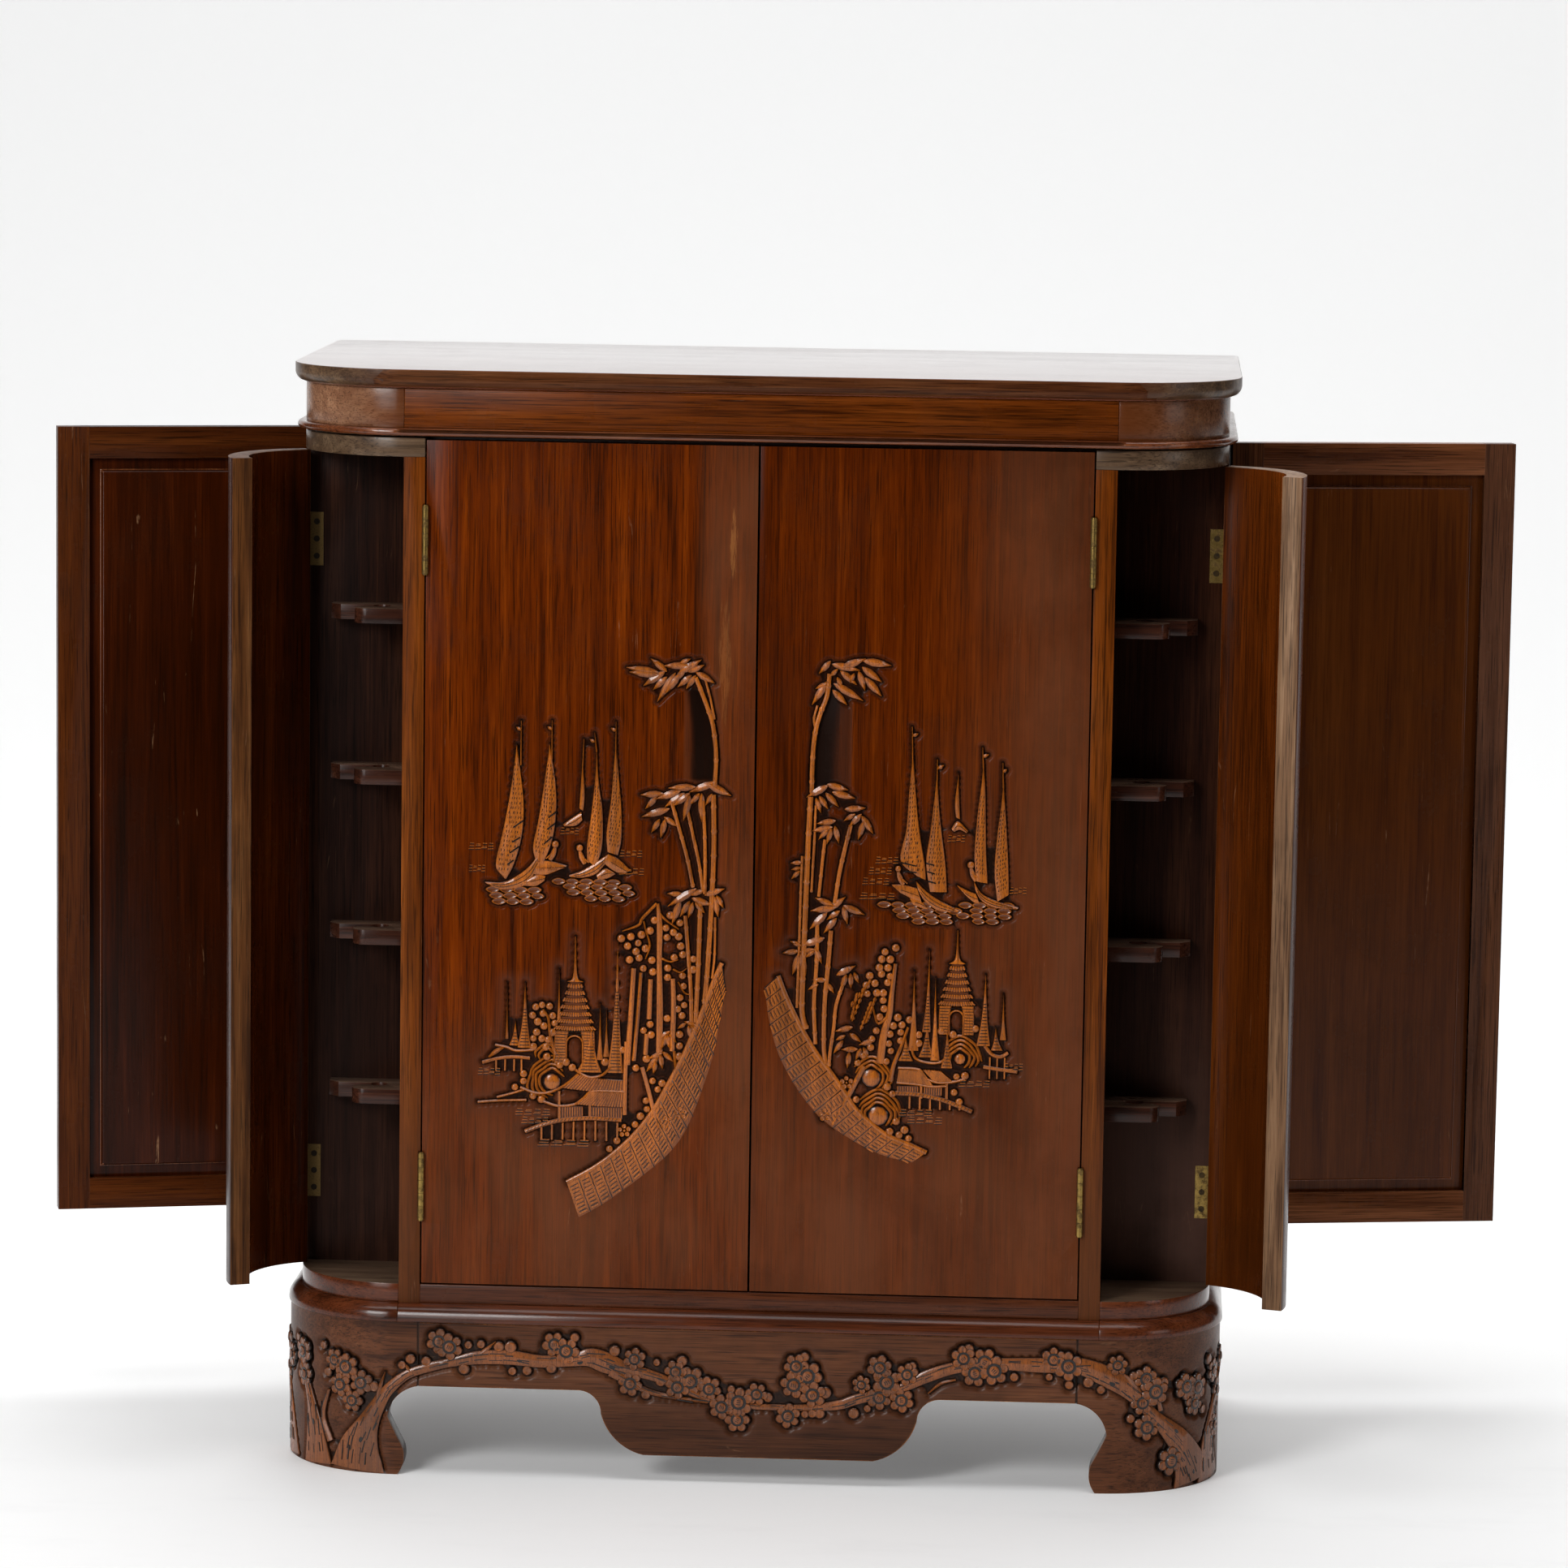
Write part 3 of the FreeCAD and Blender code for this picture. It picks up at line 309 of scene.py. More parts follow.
def scraped_and_shaded(tree, colour):
    """Scraped wood round a carving and painted shade in its ground, from the piece's scrape_and_shade attribute.
    """
    amount = shader(tree, "ShaderNodeAttribute", attribute_name="scrape_and_shade").outputs["Fac"]
    scraped = ramp(tree, amount, 0.0, SCRAPED_MARK, 0.0, 0.4)
    colour = mixed(tree, scraped, colour, linear(82, 49, 34))
    return mixed(tree, ramp(tree, amount, SCRAPED_MARK, 1.0, 0.0, 0.95), colour, linear(*SHADE_AND_DIRT))


def door_tint(tree, place, colour):
    """Duller to the right and at the foot, and tan where hands wore the meeting edge."""
    axis = axes(tree, place)
    side = ramp(tree, axis["X"], DOOR_HALF * 0.45 * MM, DOOR_HALF * 0.95 * MM)
    foot = ramp(tree, axis["Z"], (DOOR_FOOT + 60) * MM, (DOOR_FOOT + 330) * MM, 1.0, 0.0)
    right = ramp(tree, axis["X"], -1 * MM, 1 * MM)
    meeting = maths(tree, "SUBTRACT", ramp(tree, axis["X"], -64 * MM, -38 * MM), right)
    side = maths(tree, "MAXIMUM", side, meeting)
    drift = grained(tree, place, 0.4, 9, 4, 0.6)
    cool = times(tree, maths(tree, "MAXIMUM", side, foot), ramp(tree, drift, 0.3, 0.62, 0.35, 1.0))
    colour = mixed(tree, times(tree, right, 0.3), colour, linear(58, 18, 0))
    colour = mixed(tree, times(tree, cool, 0.62), colour, linear(108, 64, 40))
    for centre, reach, strength in (((-23, 92), (10, 96), 0.4), ((-30, 200), (16, 160), 0.2)):
        worn = placed_group(tree, PATCH, {"Place": place, "Raggedness": 620.0,
                                          "Centre": (centre[0] * MM, DOOR_FACE * MM,
                                                     (DOOR_HEAD - centre[1]) * MM),
                                          "Reach": (reach[0] * MM, 0.06, reach[1] * MM)})
        colour = mixed(tree, times(tree, worn["Mask"], strength), colour, linear(172, 112, 58))
    return scraped_and_shaded(tree, colour)


def foot_tint(tone, strength, reach=330.0):
    """A tint that comes in towards the foot of the doors and bays."""
    def tint(tree, place, colour):
        height = axes(tree, place)["Z"]
        foot = ramp(tree, height, (DOOR_FOOT + 40) * MM, (DOOR_FOOT + reach) * MM, strength, 0.0)
        return mixed(tree, foot, colour, linear(*tone))
    return tint


def base_tint(tree, place, colour):
    """The apron's drop is darker than the rest of the base."""
    axis = axes(tree, place)
    drop = ramp(tree, maths(tree, "ABSOLUTE", axis["X"]), 220 * MM, 280 * MM, 0.4, 0.0)
    low = ramp(tree, axis["Z"], 60 * MM, BASE_HEAD * MM, 1.0, 0.0)
    colour = mixed(tree, times(tree, drop, low), colour, linear(40, 20, 8))
    return scraped_and_shaded(tree, joint_dirt(tree, place, colour))


def joint_dirt(tree, place, colour):
    """Old dirt in the joints between the apron and the front feet; their inner faces, set back from the front, are
    darker too.
    """
    axis = axes(tree, place)
    across = maths(tree, "SUBTRACT", maths(tree, "ABSOLUTE", axis["X"]), APRON_HALF * MM)
    near = ramp(tree, maths(tree, "ABSOLUTE", across), 0.8 * MM, 1.6 * MM, 0.9, 0.0)
    behind = ramp(tree, axis["Y"], (BASE_FACE + 5) * MM, (BASE_FACE + 9) * MM, 0.0, 0.8)
    inner = ramp(tree, across, (CORNER_X - APRON_HALF + 12) * MM, (CORNER_X - APRON_HALF + 18) * MM, 1.0, 0.0)
    amount = maths(tree, "MAXIMUM", near, times(tree, behind, inner))
    front = ramp(tree, axis["Y"], -0.1, 0.0, 1.0, 0.0)
    return mixed(tree, times(tree, amount, front), colour, linear(*SHADE_AND_DIRT))


def corner_fade(tone):
    """A tint for the round corners, which have the front's tone at the joint and grow lighter towards the sides.
    """
    def tint(tree, place, colour):
        across = maths(tree, "ABSOLUTE", axes(tree, place)["X"])
        near = ramp(tree, across, (CORNER_X - 4) * MM, (CORNER_X + 85) * MM, 0.9, 0.0)
        return mixed(tree, near, colour, linear(*tone))
    return tint


def carved(name, low, middle, high, gloss):
    """Carved timber: dark in the cuts and warm on the tops by its painted shade, with fine chisel marks."""
    material, tree, surface, place = new_material(name)
    shade = shader(tree, "ShaderNodeAttribute", attribute_name="shade").outputs["Fac"]
    timber = placed_group(tree, TIMBER, {"Place": place, "Figure": 60.0, "Waviness": 0.4,
                                         "Dark": linear(*high, 0.8), "Middle": linear(*high),
                                         "Light": linear(*high, 1.2),
                                         "Pore": linear(*middle), "Drawing": 1.0})
    marks = noise(tree, stretched(tree, place, (1, 1, 0.42), (0, 0.5, 0)), 900, 2, 0.5)
    colour = mixed(tree, ramp(tree, marks, 0.56, 0.66, 0.0, 0.6), timber["Color"], linear(*middle))
    colour = mixed(tree, ramp(tree, shade, 0.35, 0.95), linear(*middle), colour)
    colour = mixed(tree, ramp(tree, shade, 0.0, 0.45), linear(*low), colour)
    rough = ramp(tree, marks, 0.3, 0.8, gloss - 0.06, gloss + 0.12)
    fed(tree, surface, {"Base Color": colour, "Roughness": rough, "Specular IOR Level": 0.25,
                        "Coat Weight": 0.45, "Coat Roughness": 0.1,
                        "Normal": bumped(tree, 0.5, 0.25, marks)})
    return material


def metal(name, bright, dull, gloss):
    """Aged brass or steel: bright where rubbed, brown in the tarnish, dullest at the left corner door by painted
    shade.
    """
    material, tree, surface, place = new_material(name)
    across = axes(tree, place)["X"]
    # Painted shade: the hinges of the left corner door are dulled
    shaded = ramp(tree, across, -(DOOR_HALF + 50) * MM, -(DOOR_HALF + 30) * MM, 0.85, 0.0)
    tarnish_and_shade = maths(tree, "MAXIMUM", shaded, ramp(tree, noise(tree, place, 160, 5, 0.65), 0.4, 0.68))
    speck = ramp(tree, noise(tree, place, 900, 2, 0.5), 0.6, 0.7)
    colour = mixed(tree, tarnish_and_shade, linear(*bright), linear(*dull))
    colour = mixed(tree, times(tree, speck, 0.6), colour, linear(*dull, 0.4))
    fed(tree, surface, {"Base Color": colour, "Roughness": ramp(tree, tarnish_and_shade, 0.0, 1.0, gloss, gloss + 0.25),
                        "Metallic": ramp(tree, tarnish_and_shade, 0.0, 1.0, 1.0, 0.75)})
    return material


def felt():
    material, tree, surface, place = new_material("green_felt")
    fuzz = noise(tree, place, 1500, 4, 0.7)
    colour = mixed(tree, fuzz, linear(34, 48, 34), linear(70, 86, 62))
    fed(tree, surface, {"Base Color": colour, "Roughness": 0.95, "Normal": bumped(tree, 0.8, 0.3, fuzz)})
    return material


# Each timber: dark, middle and light tones, way of the grain, figure, waviness, gloss and coat, then what it
# has of its own
wood("door", (48, 14, 0), (93, 34, 1), (122, 51, 5), UPRIGHT, 85, 0.3, 0.25, 0.0, tint=door_tint, shine=0.06)
wood("door_arris", (70, 34, 10), (112, 62, 24), (160, 104, 52), UPRIGHT, 60, 0.5, 0.36, 0.0)
wood("base_arris", (70, 34, 10), (112, 62, 24), (160, 104, 52), UPRIGHT, 60, 0.5, 0.36, 0.0, tint=joint_dirt)
wood("stile", (66, 28, 5), (109, 52, 10), (138, 74, 24), UPRIGHT, 60, 0.4, 0.32, 0.0, shift=(0.3, 0, 0),
     tint=foot_tint((84, 50, 30), 0.7), shine=0.06)
wood("rail", (54, 24, 10), (80, 40, 20), (102, 56, 32), ACROSS, 36, 0.5, 0.28, 0.05, shine=0.15)
wood("top_board", (84, 46, 34), (106, 60, 46), (124, 74, 58), ACROSS, 26, 0.5, 0.12, 0.7, scratch=0.1,
     grime=0.03, relief=0.01, shine=0.5)
wood("top_arris", (92, 66, 48), (140, 108, 82), (196, 164, 132), ACROSS, 90, 0.6, 0.4, 0.1)
wood("lid_front", (46, 20, 8), (76, 39, 18), (108, 65, 36), ACROSS, 40, 0.6, 0.3, 0.02, shine=0.08)
wood("frieze", (57, 21, 2), (109, 51, 12), (148, 80, 29), ACROSS, 26, 0.9, 0.28, 0.0, shine=0.08)
# The left frieze corner's light tones are a painted reflection.
wood("left_swirl", (108, 70, 48), (146, 102, 75), (176, 130, 98), ACROSS, 22, 2.6, 0.26, 0.1,
     tint=corner_fade((96, 48, 18)))
wood("right_swirl", (70, 40, 22), (114, 72, 46), (148, 102, 70), ACROSS, 22, 2.2, 0.26, 0.1,
     tint=corner_fade((92, 45, 16)))
wood("moulding", (60, 27, 12), (88, 42, 21), (112, 58, 32), ACROSS, 30, 0.5, 0.2, 0.2)
# Both bay timbers lighten towards the foot, the right one much more: painted light.
wood("left_inner", (20, 10, 6), (35, 18, 12), (55, 31, 20), UPRIGHT, 44, 0.3, 0.42, 0.0, scratch=0.12,
     grime=0.3, tint=foot_tint((92, 66, 56), 0.1), shine=0.04)
wood("right_inner", (24, 11, 6), (41, 20, 12), (62, 34, 20), UPRIGHT, 44, 0.3, 0.42, 0.0, scratch=0.12,
     grime=0.3, tint=foot_tint((92, 66, 56), 0.6), shine=0.04)
wood("dark_shelf", (34, 18, 12), (50, 28, 20), (68, 41, 30), ACROSS, 40, 0.4, 0.45, 0.02)
wood("corner_floor", (68, 50, 38), (92, 71, 55), (114, 94, 74), ACROSS, 34, 0.5, 0.42, 0.1, scratch=0.4,
     grime=0.4)
wood("corner_top", (60, 44, 30), (96, 74, 55), (126, 102, 78), ACROSS, 60, 0.4, 0.3, 0.1)
wood("left_edge", (58, 31, 12), (88, 51, 22), (116, 75, 40), UPRIGHT, 120, 0.3, 0.45, 0.0, scratch=0.3,
     grime=0.3, shine=0.08)
wood("right_edge", (80, 54, 36), (122, 90, 64), (158, 124, 94), UPRIGHT, 120, 0.3, 0.45, 0.0, scratch=0.3,
     grime=0.3, shine=0.1)
wood("lid_end", (52, 36, 24), (84, 62, 44), (118, 92, 68), ACROSS, 90, 0.6, 0.34, 0.1, scratch=0.3,
     grime=0.4, tint=corner_fade((78, 42, 22)))
wood("left_panel", (29, 8, 0), (48, 15, 1), (68, 25, 4), UPRIGHT, 26, 1.4, 0.24, 0.03, scratch=0.7,
     shine=0.1, drawing=0.5)
wood("right_panel", (66, 29, 8), (87, 42, 11), (102, 53, 18), UPRIGHT, 26, 1.4, 0.24, 0.04, scratch=0.4,
     shine=0.1, drawing=0.45)
wood("panel_arris", (70, 32, 14), (104, 54, 26), (140, 84, 48), UPRIGHT, 40, 0.5, 0.24, 0.4)
wood("left_frame", (46, 18, 4), (70, 31, 8), (90, 44, 14), UPRIGHT, 36, 0.5, 0.28, 0.0, shine=0.06)
wood("right_frame", (57, 30, 16), (88, 51, 30), (110, 67, 42), UPRIGHT, 36, 0.5, 0.28, 0.0, shine=0.08)
wood("frame_arris", (70, 42, 24), (108, 72, 46), (150, 112, 80), UPRIGHT, 60, 0.5, 0.4, 0.0)
wood("left_curved", (30, 8, 0), (54, 18, 1), (80, 33, 5), UPRIGHT, 30, 0.7, 0.28, 0.02, shine=0.08)
wood("right_curved", (49, 18, 2), (89, 38, 5), (120, 58, 13), UPRIGHT, 30, 0.7, 0.28, 0.02,
     tint=foot_tint((56, 24, 4), 0.7, 640.0), shine=0.08)
wood("base", (56, 29, 13), (90, 51, 28), (116, 72, 45), ACROSS, 30, 0.8, 0.36, 0.04, scratch=0.3, grime=0.3,
     tint=base_tint, shine=0.15)
# The bead's light tones stand in part for a painted highlight along it.
wood("bead", (72, 34, 16), (108, 56, 30), (146, 88, 54), ACROSS, 60, 0.5, 0.2, 0.3, shine=0.3)
wood("holder", (38, 18, 11), (60, 31, 20), (86, 50, 35), ACROSS, 60, 0.5, 0.26, 0.1)
wood("holder_top", (74, 52, 40), (108, 82, 66), (142, 114, 94), ACROSS, 60, 0.5, 0.3, 0.4, scratch=0.3,
     grime=0.4)
CARVED_DOOR = carved("carved_door_timber", (15, 7, 2), (94, 43, 6), (164, 88, 18), 0.34)
CARVED_BASE = carved("carved_base_timber", (18, 10, 7), (72, 38, 17), (124, 68, 28), 0.36)
BRASS = metal("aged_brass", (158, 130, 72), (88, 66, 34), 0.32)
SCREW_METAL = metal("dark_screws", (80, 64, 42), (32, 25, 20), 0.42)
FELT = felt()


# Softened timber

def merged_copy(node):
    """The node's mesh as a bmesh of whole faces, with its loose triangles merged."""
    bm = bmesh.new()
    bm.from_mesh(NODES[node].data)
    bmesh.ops.remove_doubles(bm, verts=bm.verts, dist=MERGE)
    bmesh.ops.dissolve_limit(bm, angle_limit=LEVEL, verts=bm.verts, edges=bm.edges)
    return bm


def new_piece(name, data):
    piece = bpy.data.objects.new(name, data)
    bpy.context.scene.collection.objects.link(piece)
    return piece


def plain_mesh(piece):
    """Bakes the piece's modifiers into a plain mesh."""
    graph = bpy.context.evaluated_depsgraph_get()
    mesh = bpy.data.meshes.new_from_object(piece.evaluated_get(graph))
    old = piece.data
    piece.modifiers.clear()
    piece.data = mesh
    bpy.data.meshes.remove(old)
    return mesh


def soften(piece, width, arris):
    """Rounds the sharp arrises, in the material of that number (-1: no change), and shades smooth."""
    bevel = piece.modifiers.new("arris", "BEVEL")
    bevel.width = width * MM
    bevel.segments = 2
    bevel.limit_method = "ANGLE"
    bevel.angle_limit = ARRIS
    bevel.use_clamp_overlap = True
    bevel.material = arris
    mesh = plain_mesh(piece)
    mesh.polygons.foreach_set("use_smooth", [True] * len(mesh.polygons))
    mesh.set_sharp_from_angle(angle=CRISP_TIMBER)


def settle(piece, node):
    """The piece stands for the node and goes with its body."""
    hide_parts(node)
    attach(piece, BODY_OF[node])


def islands(bm):
    """The separate solids of a bmesh, as lists of faces."""
    left = set(bm.faces)
    while left:
        found = [left.pop()]
        for face in found:
            near = {f for edge in face.edges if len(edge.link_faces) == 2 for f in edge.link_faces} & left
            left -= near
            found.extend(near)
        yield found


def soft_timber(node, timbers, pick=None, width=SOFT_EDGE, arris=None):
    """A softened copy of a timber node. pick(face, low, high) says which of the timbers a face has."""
    bm = merged_copy(node)
    if pick:
        for solid in islands(bm):
            points = np.array([v.co for face in solid for v in face.verts])
            low, high = points.min(0), points.max(0)
            for face in solid:
                face.material_index = pick(face, low, high)
    mesh = bpy.data.meshes.new(node + "_timber")
    bm.to_mesh(mesh)
    bm.free()
    for name in timbers + [arris] * bool(arris):
        mesh.materials.append(WOOD[name])
    piece = new_piece(node + "_timber", mesh)
    soften(piece, width, len(timbers) if arris else -1)
    settle(piece, node)
    return piece


def long_or_cross(face, low, high):
    """Stiles have the first timber, and rails the second."""
    return 0 if high[2] - low[2] > RAIL_HEIGHT else 1


RAIL_TONES = {"left": ((44, 17, 4), (66, 29, 8), (86, 42, 14)),
              "right": ((71, 36, 19), (108, 62, 35), (136, 83, 50))}
ONE_TIMBER = {
    "rail": ("bottom_rail",),
    "dark_shelf": ("bottom_board", "counter_board", "middle_shelf", "side_shelves", "shelf_bearers",
                   "back_panel", "base_blocks"),
    "base": ("plain_aprons", "rear_feet"),
    "moulding": ("base_moulding_front", "base_moulding_returns"),
    "frieze": ("lid_frieze_front", "lid_frieze_sides", "lid_frieze_back"),
}


def timber_pieces():
    for side in ("left", "right"):
        angle = math.radians(REST_ANGLE["side_door_" + side])
        turn = -angle if side == "left" else angle
        wood(side + "_rail", *RAIL_TONES[side], (math.pi / 2, turn, 0), 36, 0.5, 0.28, 0.0, shine=0.07)
        soft_timber("side_door_%s_frame" % side, [side + "_frame", side + "_rail"], long_or_cross,
                    arris="frame_arris")
        soft_timber("side_door_%s_panel" % side, [side + "_panel"], arris="panel_arris")
        soft_timber("corner_door_" + side, [side + "_curved", side + "_edge"], corner_door_faces(side),
                    arris="frame_arris")
        soft_timber("front_stile_" + side, ["stile"])
        soft_timber("partition_" + side, [side + "_inner"])
        soft_timber("corner_back_" + side, [side + "_inner"])
        soft_timber("corner_floor_" + side, ["corner_floor", "moulding"], flat_or_rim)
        soft_timber("corner_top_" + side, ["corner_top"])
        soft_timber("glass_holders_" + side, ["holder_top", "holder"], flat_or_rim, 1.2)
    for timber, nodes in ONE_TIMBER.items():
        for node in nodes:
            soft_timber(node, [timber])
    soft_timber("back_frame", ["left_inner", "dark_shelf"], long_or_cross)
    soft_timber("lid_top", ["top_board", "lid_end", "lid_front"], lid_faces, 1.5, "top_arris")
    soft_timber("lid_frieze_corners", ["left_swirl", "right_swirl"], left_or_right)
    soft_timber("lid_bead", ["bead"], None, 0.5)


def lid_faces(face, low, high):
    """The flat top, end grain round the corners and sides, and the front edge."""
    if abs(face.normal.z) > 0.85:
        return 0
    return 1 if abs(face.normal.x) > 0.2 else 2


def left_or_right(face, low, high):
    return 0 if high[0] < 0 else 1


def flat_or_rim(face, low, high):
    return 1 if abs(face.normal.z) < 0.5 else 0


def corner_door_faces(side):
    """Bare end grain on the top, the foot and the straight edges of a corner door, as it stands open."""
    hinge = next(joint for joint in frame["joints"] if joint["child"] == "corner_door_" + side)
    pin = Vector(hinge["pos_m"])
    sign = math.copysign(1, pin.x)
    closed = Vector((sign * CORNER_X * MM, CORNER_Y * MM, 0)) - pin
    closed.z = 0
    turn = Matrix.Rotation(math.radians(REST_ANGLE["corner_door_" + side]) * sign, 3, "Z")
    centre = pin + turn @ closed

    def pick(face, low, high):
        out = face.calc_center_median() - centre
        out.z = 0
        return 1 if abs(face.normal.z) > 0.8 or abs(face.normal.dot(out.normalized())) < 0.4 else 0
    return pick


def hardware():
    for node in NODES:
        if SLOT_OF[node] == "brass":
            finish(node, SCREW_METAL if "screws" in node else BRASS)
    finish("lid_pads", FELT)


def finish(node, material):
    for slot in NODES[node].material_slots:
        slot.material = material


# Carving kit. Shapes lie flat in millimetres: u across, w up, h above the uncut face. Each point has a shade,
# from 0 in the dark cuts to 1 on the tops: painted shade, darkest at the foot of each shape.

def curve(points, steps=6):
    """A smooth line through the points, with that many steps to each span."""
    p = [np.array(q, float) for q in points]
    p = [2 * p[0] - p[1]] + p + [2 * p[-1] - p[-2]]
    line = []
    for a, b, c, d in zip(p, p[1:], p[2:], p[3:]):
        for t in np.arange(steps) / steps:
            line.append(b + 0.5 * t * (c - a + t * (2 * a - 5 * b + 4 * c - d + t * (3 * (b - c) + d - a))))
    return line + [p[-2]]


def lens_stamp():
    """A bamboo leaf, one long and one wide, pointed at both ends, with a ridge down the middle."""
    verts, shades = [], []
    stations = ((0.0, 0.06), (0.12, 0.3), (0.34, 0.5), (0.6, 0.44), (0.84, 0.2), (1.0, 0.01))
    section = ((-1.0, -SINK, 0.0), (-1.0, -0.5, 0.5), (-0.35, 0.25, 0.9), (0.0, 0.7, 1.0), (0.35, 0.1, 0.85),
               (1.0, -0.7, 0.5), (1.0, -SINK, 0.0))
    for along, half in stations:
        for side, h, shade in section:
            verts.append((along, side * half, h))
            shades.append(shade)
    return verts, lofted(len(stations), len(section)), shades


def lofted(stations, points):
    """Faces of a strip of sections, with both ends closed."""
    faces = []
    for s in range(stations - 1):
        for p in range(points - 1):
            a = s * points + p
            faces.append((a, a + 1, a + points + 1, a + points))
    last = (stations - 1) * points
    faces.append(tuple(range(points - 1, -1, -1)))
    faces.append(tuple(range(last, last + points)))
    return faces


def turned_stamp(rings, sides, wide=1.0, lean=1.0):
    """A stamp of rings of (radius, height, shade), the last one closed. A lean above one points the ends."""
    verts, faces, shades = [], [], []
    for radius, h, shade in rings:
        for i in range(sides):
            a = 2 * math.pi * i / sides
            rise = math.copysign(abs(math.sin(a)) ** lean, math.sin(a))
            verts.append((wide * radius * math.cos(a), wide * radius * rise, h))
            shades.append(shade)
    last = (len(rings) - 1) * sides
    for a in range(0, last, sides):
        for i in range(sides):
            j = (i + 1) % sides
            faces.append((a + i, a + j, a + sides + j, a + sides + i))
    faces.append(tuple(range(last, last + sides)))
    return verts, faces, shades


def heart_stamp():
    """Middle of a blossom: a raised ring in painted shade round a button, with stamens as dark bars of painted
    shade.
    """
    verts, faces, shades = turned_stamp([(1.0, -SINK, 0.0), (1.0, 0.7, 0.0), (0.72, 0.55, 0.0),
                                         (0.64, 1.35, 0.7), (0.46, 1.7, 1.0), (0.1, 1.75, 1.0)], 14)
    for x in (-0.24, 0.02, 0.28):
        bar_verts, bar_faces, bar_shades = bar_stamp(0.0, 1.0)
        start = len(verts)
        verts += [(x + bx * 0.12, by * 0.56, 1.86 + bz * 0.2) for bx, by, bz in bar_verts]
        faces += [tuple(start + i for i in face) for face in bar_faces]
        shades += bar_shades
    return verts, faces, shades


def bar_stamp(shade=1.0, depth=SINK + 0.6):
    """A bar, one long and one wide, whose top is at its own height."""
    verts = [(x, y, -depth) for x, y in ((-0.5, -0.5), (0.5, -0.5), (0.5, 0.5), (-0.5, 0.5))]
    verts += [(x, y, 0.0) for x, y in ((-0.46, -0.36), (0.46, -0.36), (0.46, 0.36), (-0.46, 0.36))]
    faces = [(0, 1, 5, 4), (1, 2, 6, 5), (2, 3, 7, 6), (3, 0, 4, 7), (4, 5, 6, 7)]
    return verts, faces, [shade * 0.2] * 4 + [shade] * 4


def shaded_mesh(name, verts, faces, shades):
    mesh = bpy.data.meshes.new(name)
    mesh.from_pydata([tuple(v) for v in verts], [], faces)
    attribute = mesh.attributes.new("shade", "FLOAT", "POINT")
    attribute.data.foreach_set("value", shades)
    return mesh


def geometry_group(name, inputs):
    """A group that grows geometry in a finish, with inputs of its own."""
    return new_group(name, {"Geometry": "geometry", **inputs, "Finish": "material"}, {"Geometry": "geometry"},
                     "GeometryNodeTree")


def named(tree, name, kind="FLOAT"):
    return shader(tree, "GeometryNodeInputNamedAttribute", {"Name": name},
                  data_type=kind).outputs["Attribute"]


def vector(tree, **parts):
    return shader(tree, "ShaderNodeCombineXYZ", parts).outputs[0]


def shape_of(tree, thing):
    return shader(tree, "GeometryNodeObjectInfo", {"Object": thing}).outputs["Geometry"]


def scaled(tree, geometry, scale):
    return shader(tree, "GeometryNodeTransform", {"Geometry": geometry, "Scale": scale}).outputs[0]


def set_out(tree, points, instance, **turn_and_scale):
    inputs = {"Points": points, "Instance": instance, **turn_and_scale}
    return shader(tree, "GeometryNodeInstanceOnPoints", inputs).outputs[0]


def finished(tree, geometry, finish, leave):
    """The end of each tree: real geometry in its finish."""
    real = shader(tree, "GeometryNodeRealizeInstances", {"Geometry": geometry}).outputs[0]
    done = shader(tree, "GeometryNodeSetMaterial", {"Geometry": real, "Material": finish}).outputs[0]
    tree.links.new(done, leave.inputs["Geometry"])


def spread(tree, amount, seed):
    """A random number between minus and plus the amount, fixed by the seed."""
    inputs = {2: times(tree, amount, -1.0), 3: amount, "Seed": seed}
    return shader(tree, "FunctionNodeRandomValue", inputs, data_type="FLOAT").outputs[1]


def make_stamp_tree():
    """Stamps one shape on each point, turned and sized as the point says, a little unevenly."""
    inputs = {"Stamp": "object", "Turn spread": "value", "Size spread": "value", "Seed": "count"}
    tree, enter, leave = geometry_group("stamped_shapes", inputs)
    turn = maths(tree, "ADD", named(tree, "turn"), spread(tree, enter["Turn spread"], enter["Seed"]))
    grow = maths(tree, "ADD", 1.0, spread(tree, enter["Size spread"], enter["Seed"]))
    even = vector(tree, X=grow, Y=grow, Z=1.0)
    size = shader(tree, "ShaderNodeVectorMath", {0: named(tree, "size", "FLOAT_VECTOR"), 1: even},
                  operation="MULTIPLY")
    stamped = set_out(tree, enter["Geometry"], shape_of(tree, enter["Stamp"]), Rotation=vector(tree, Z=turn),
                      Scale=size.outputs[0])
    finished(tree, stamped, enter["Finish"], leave)
    return tree


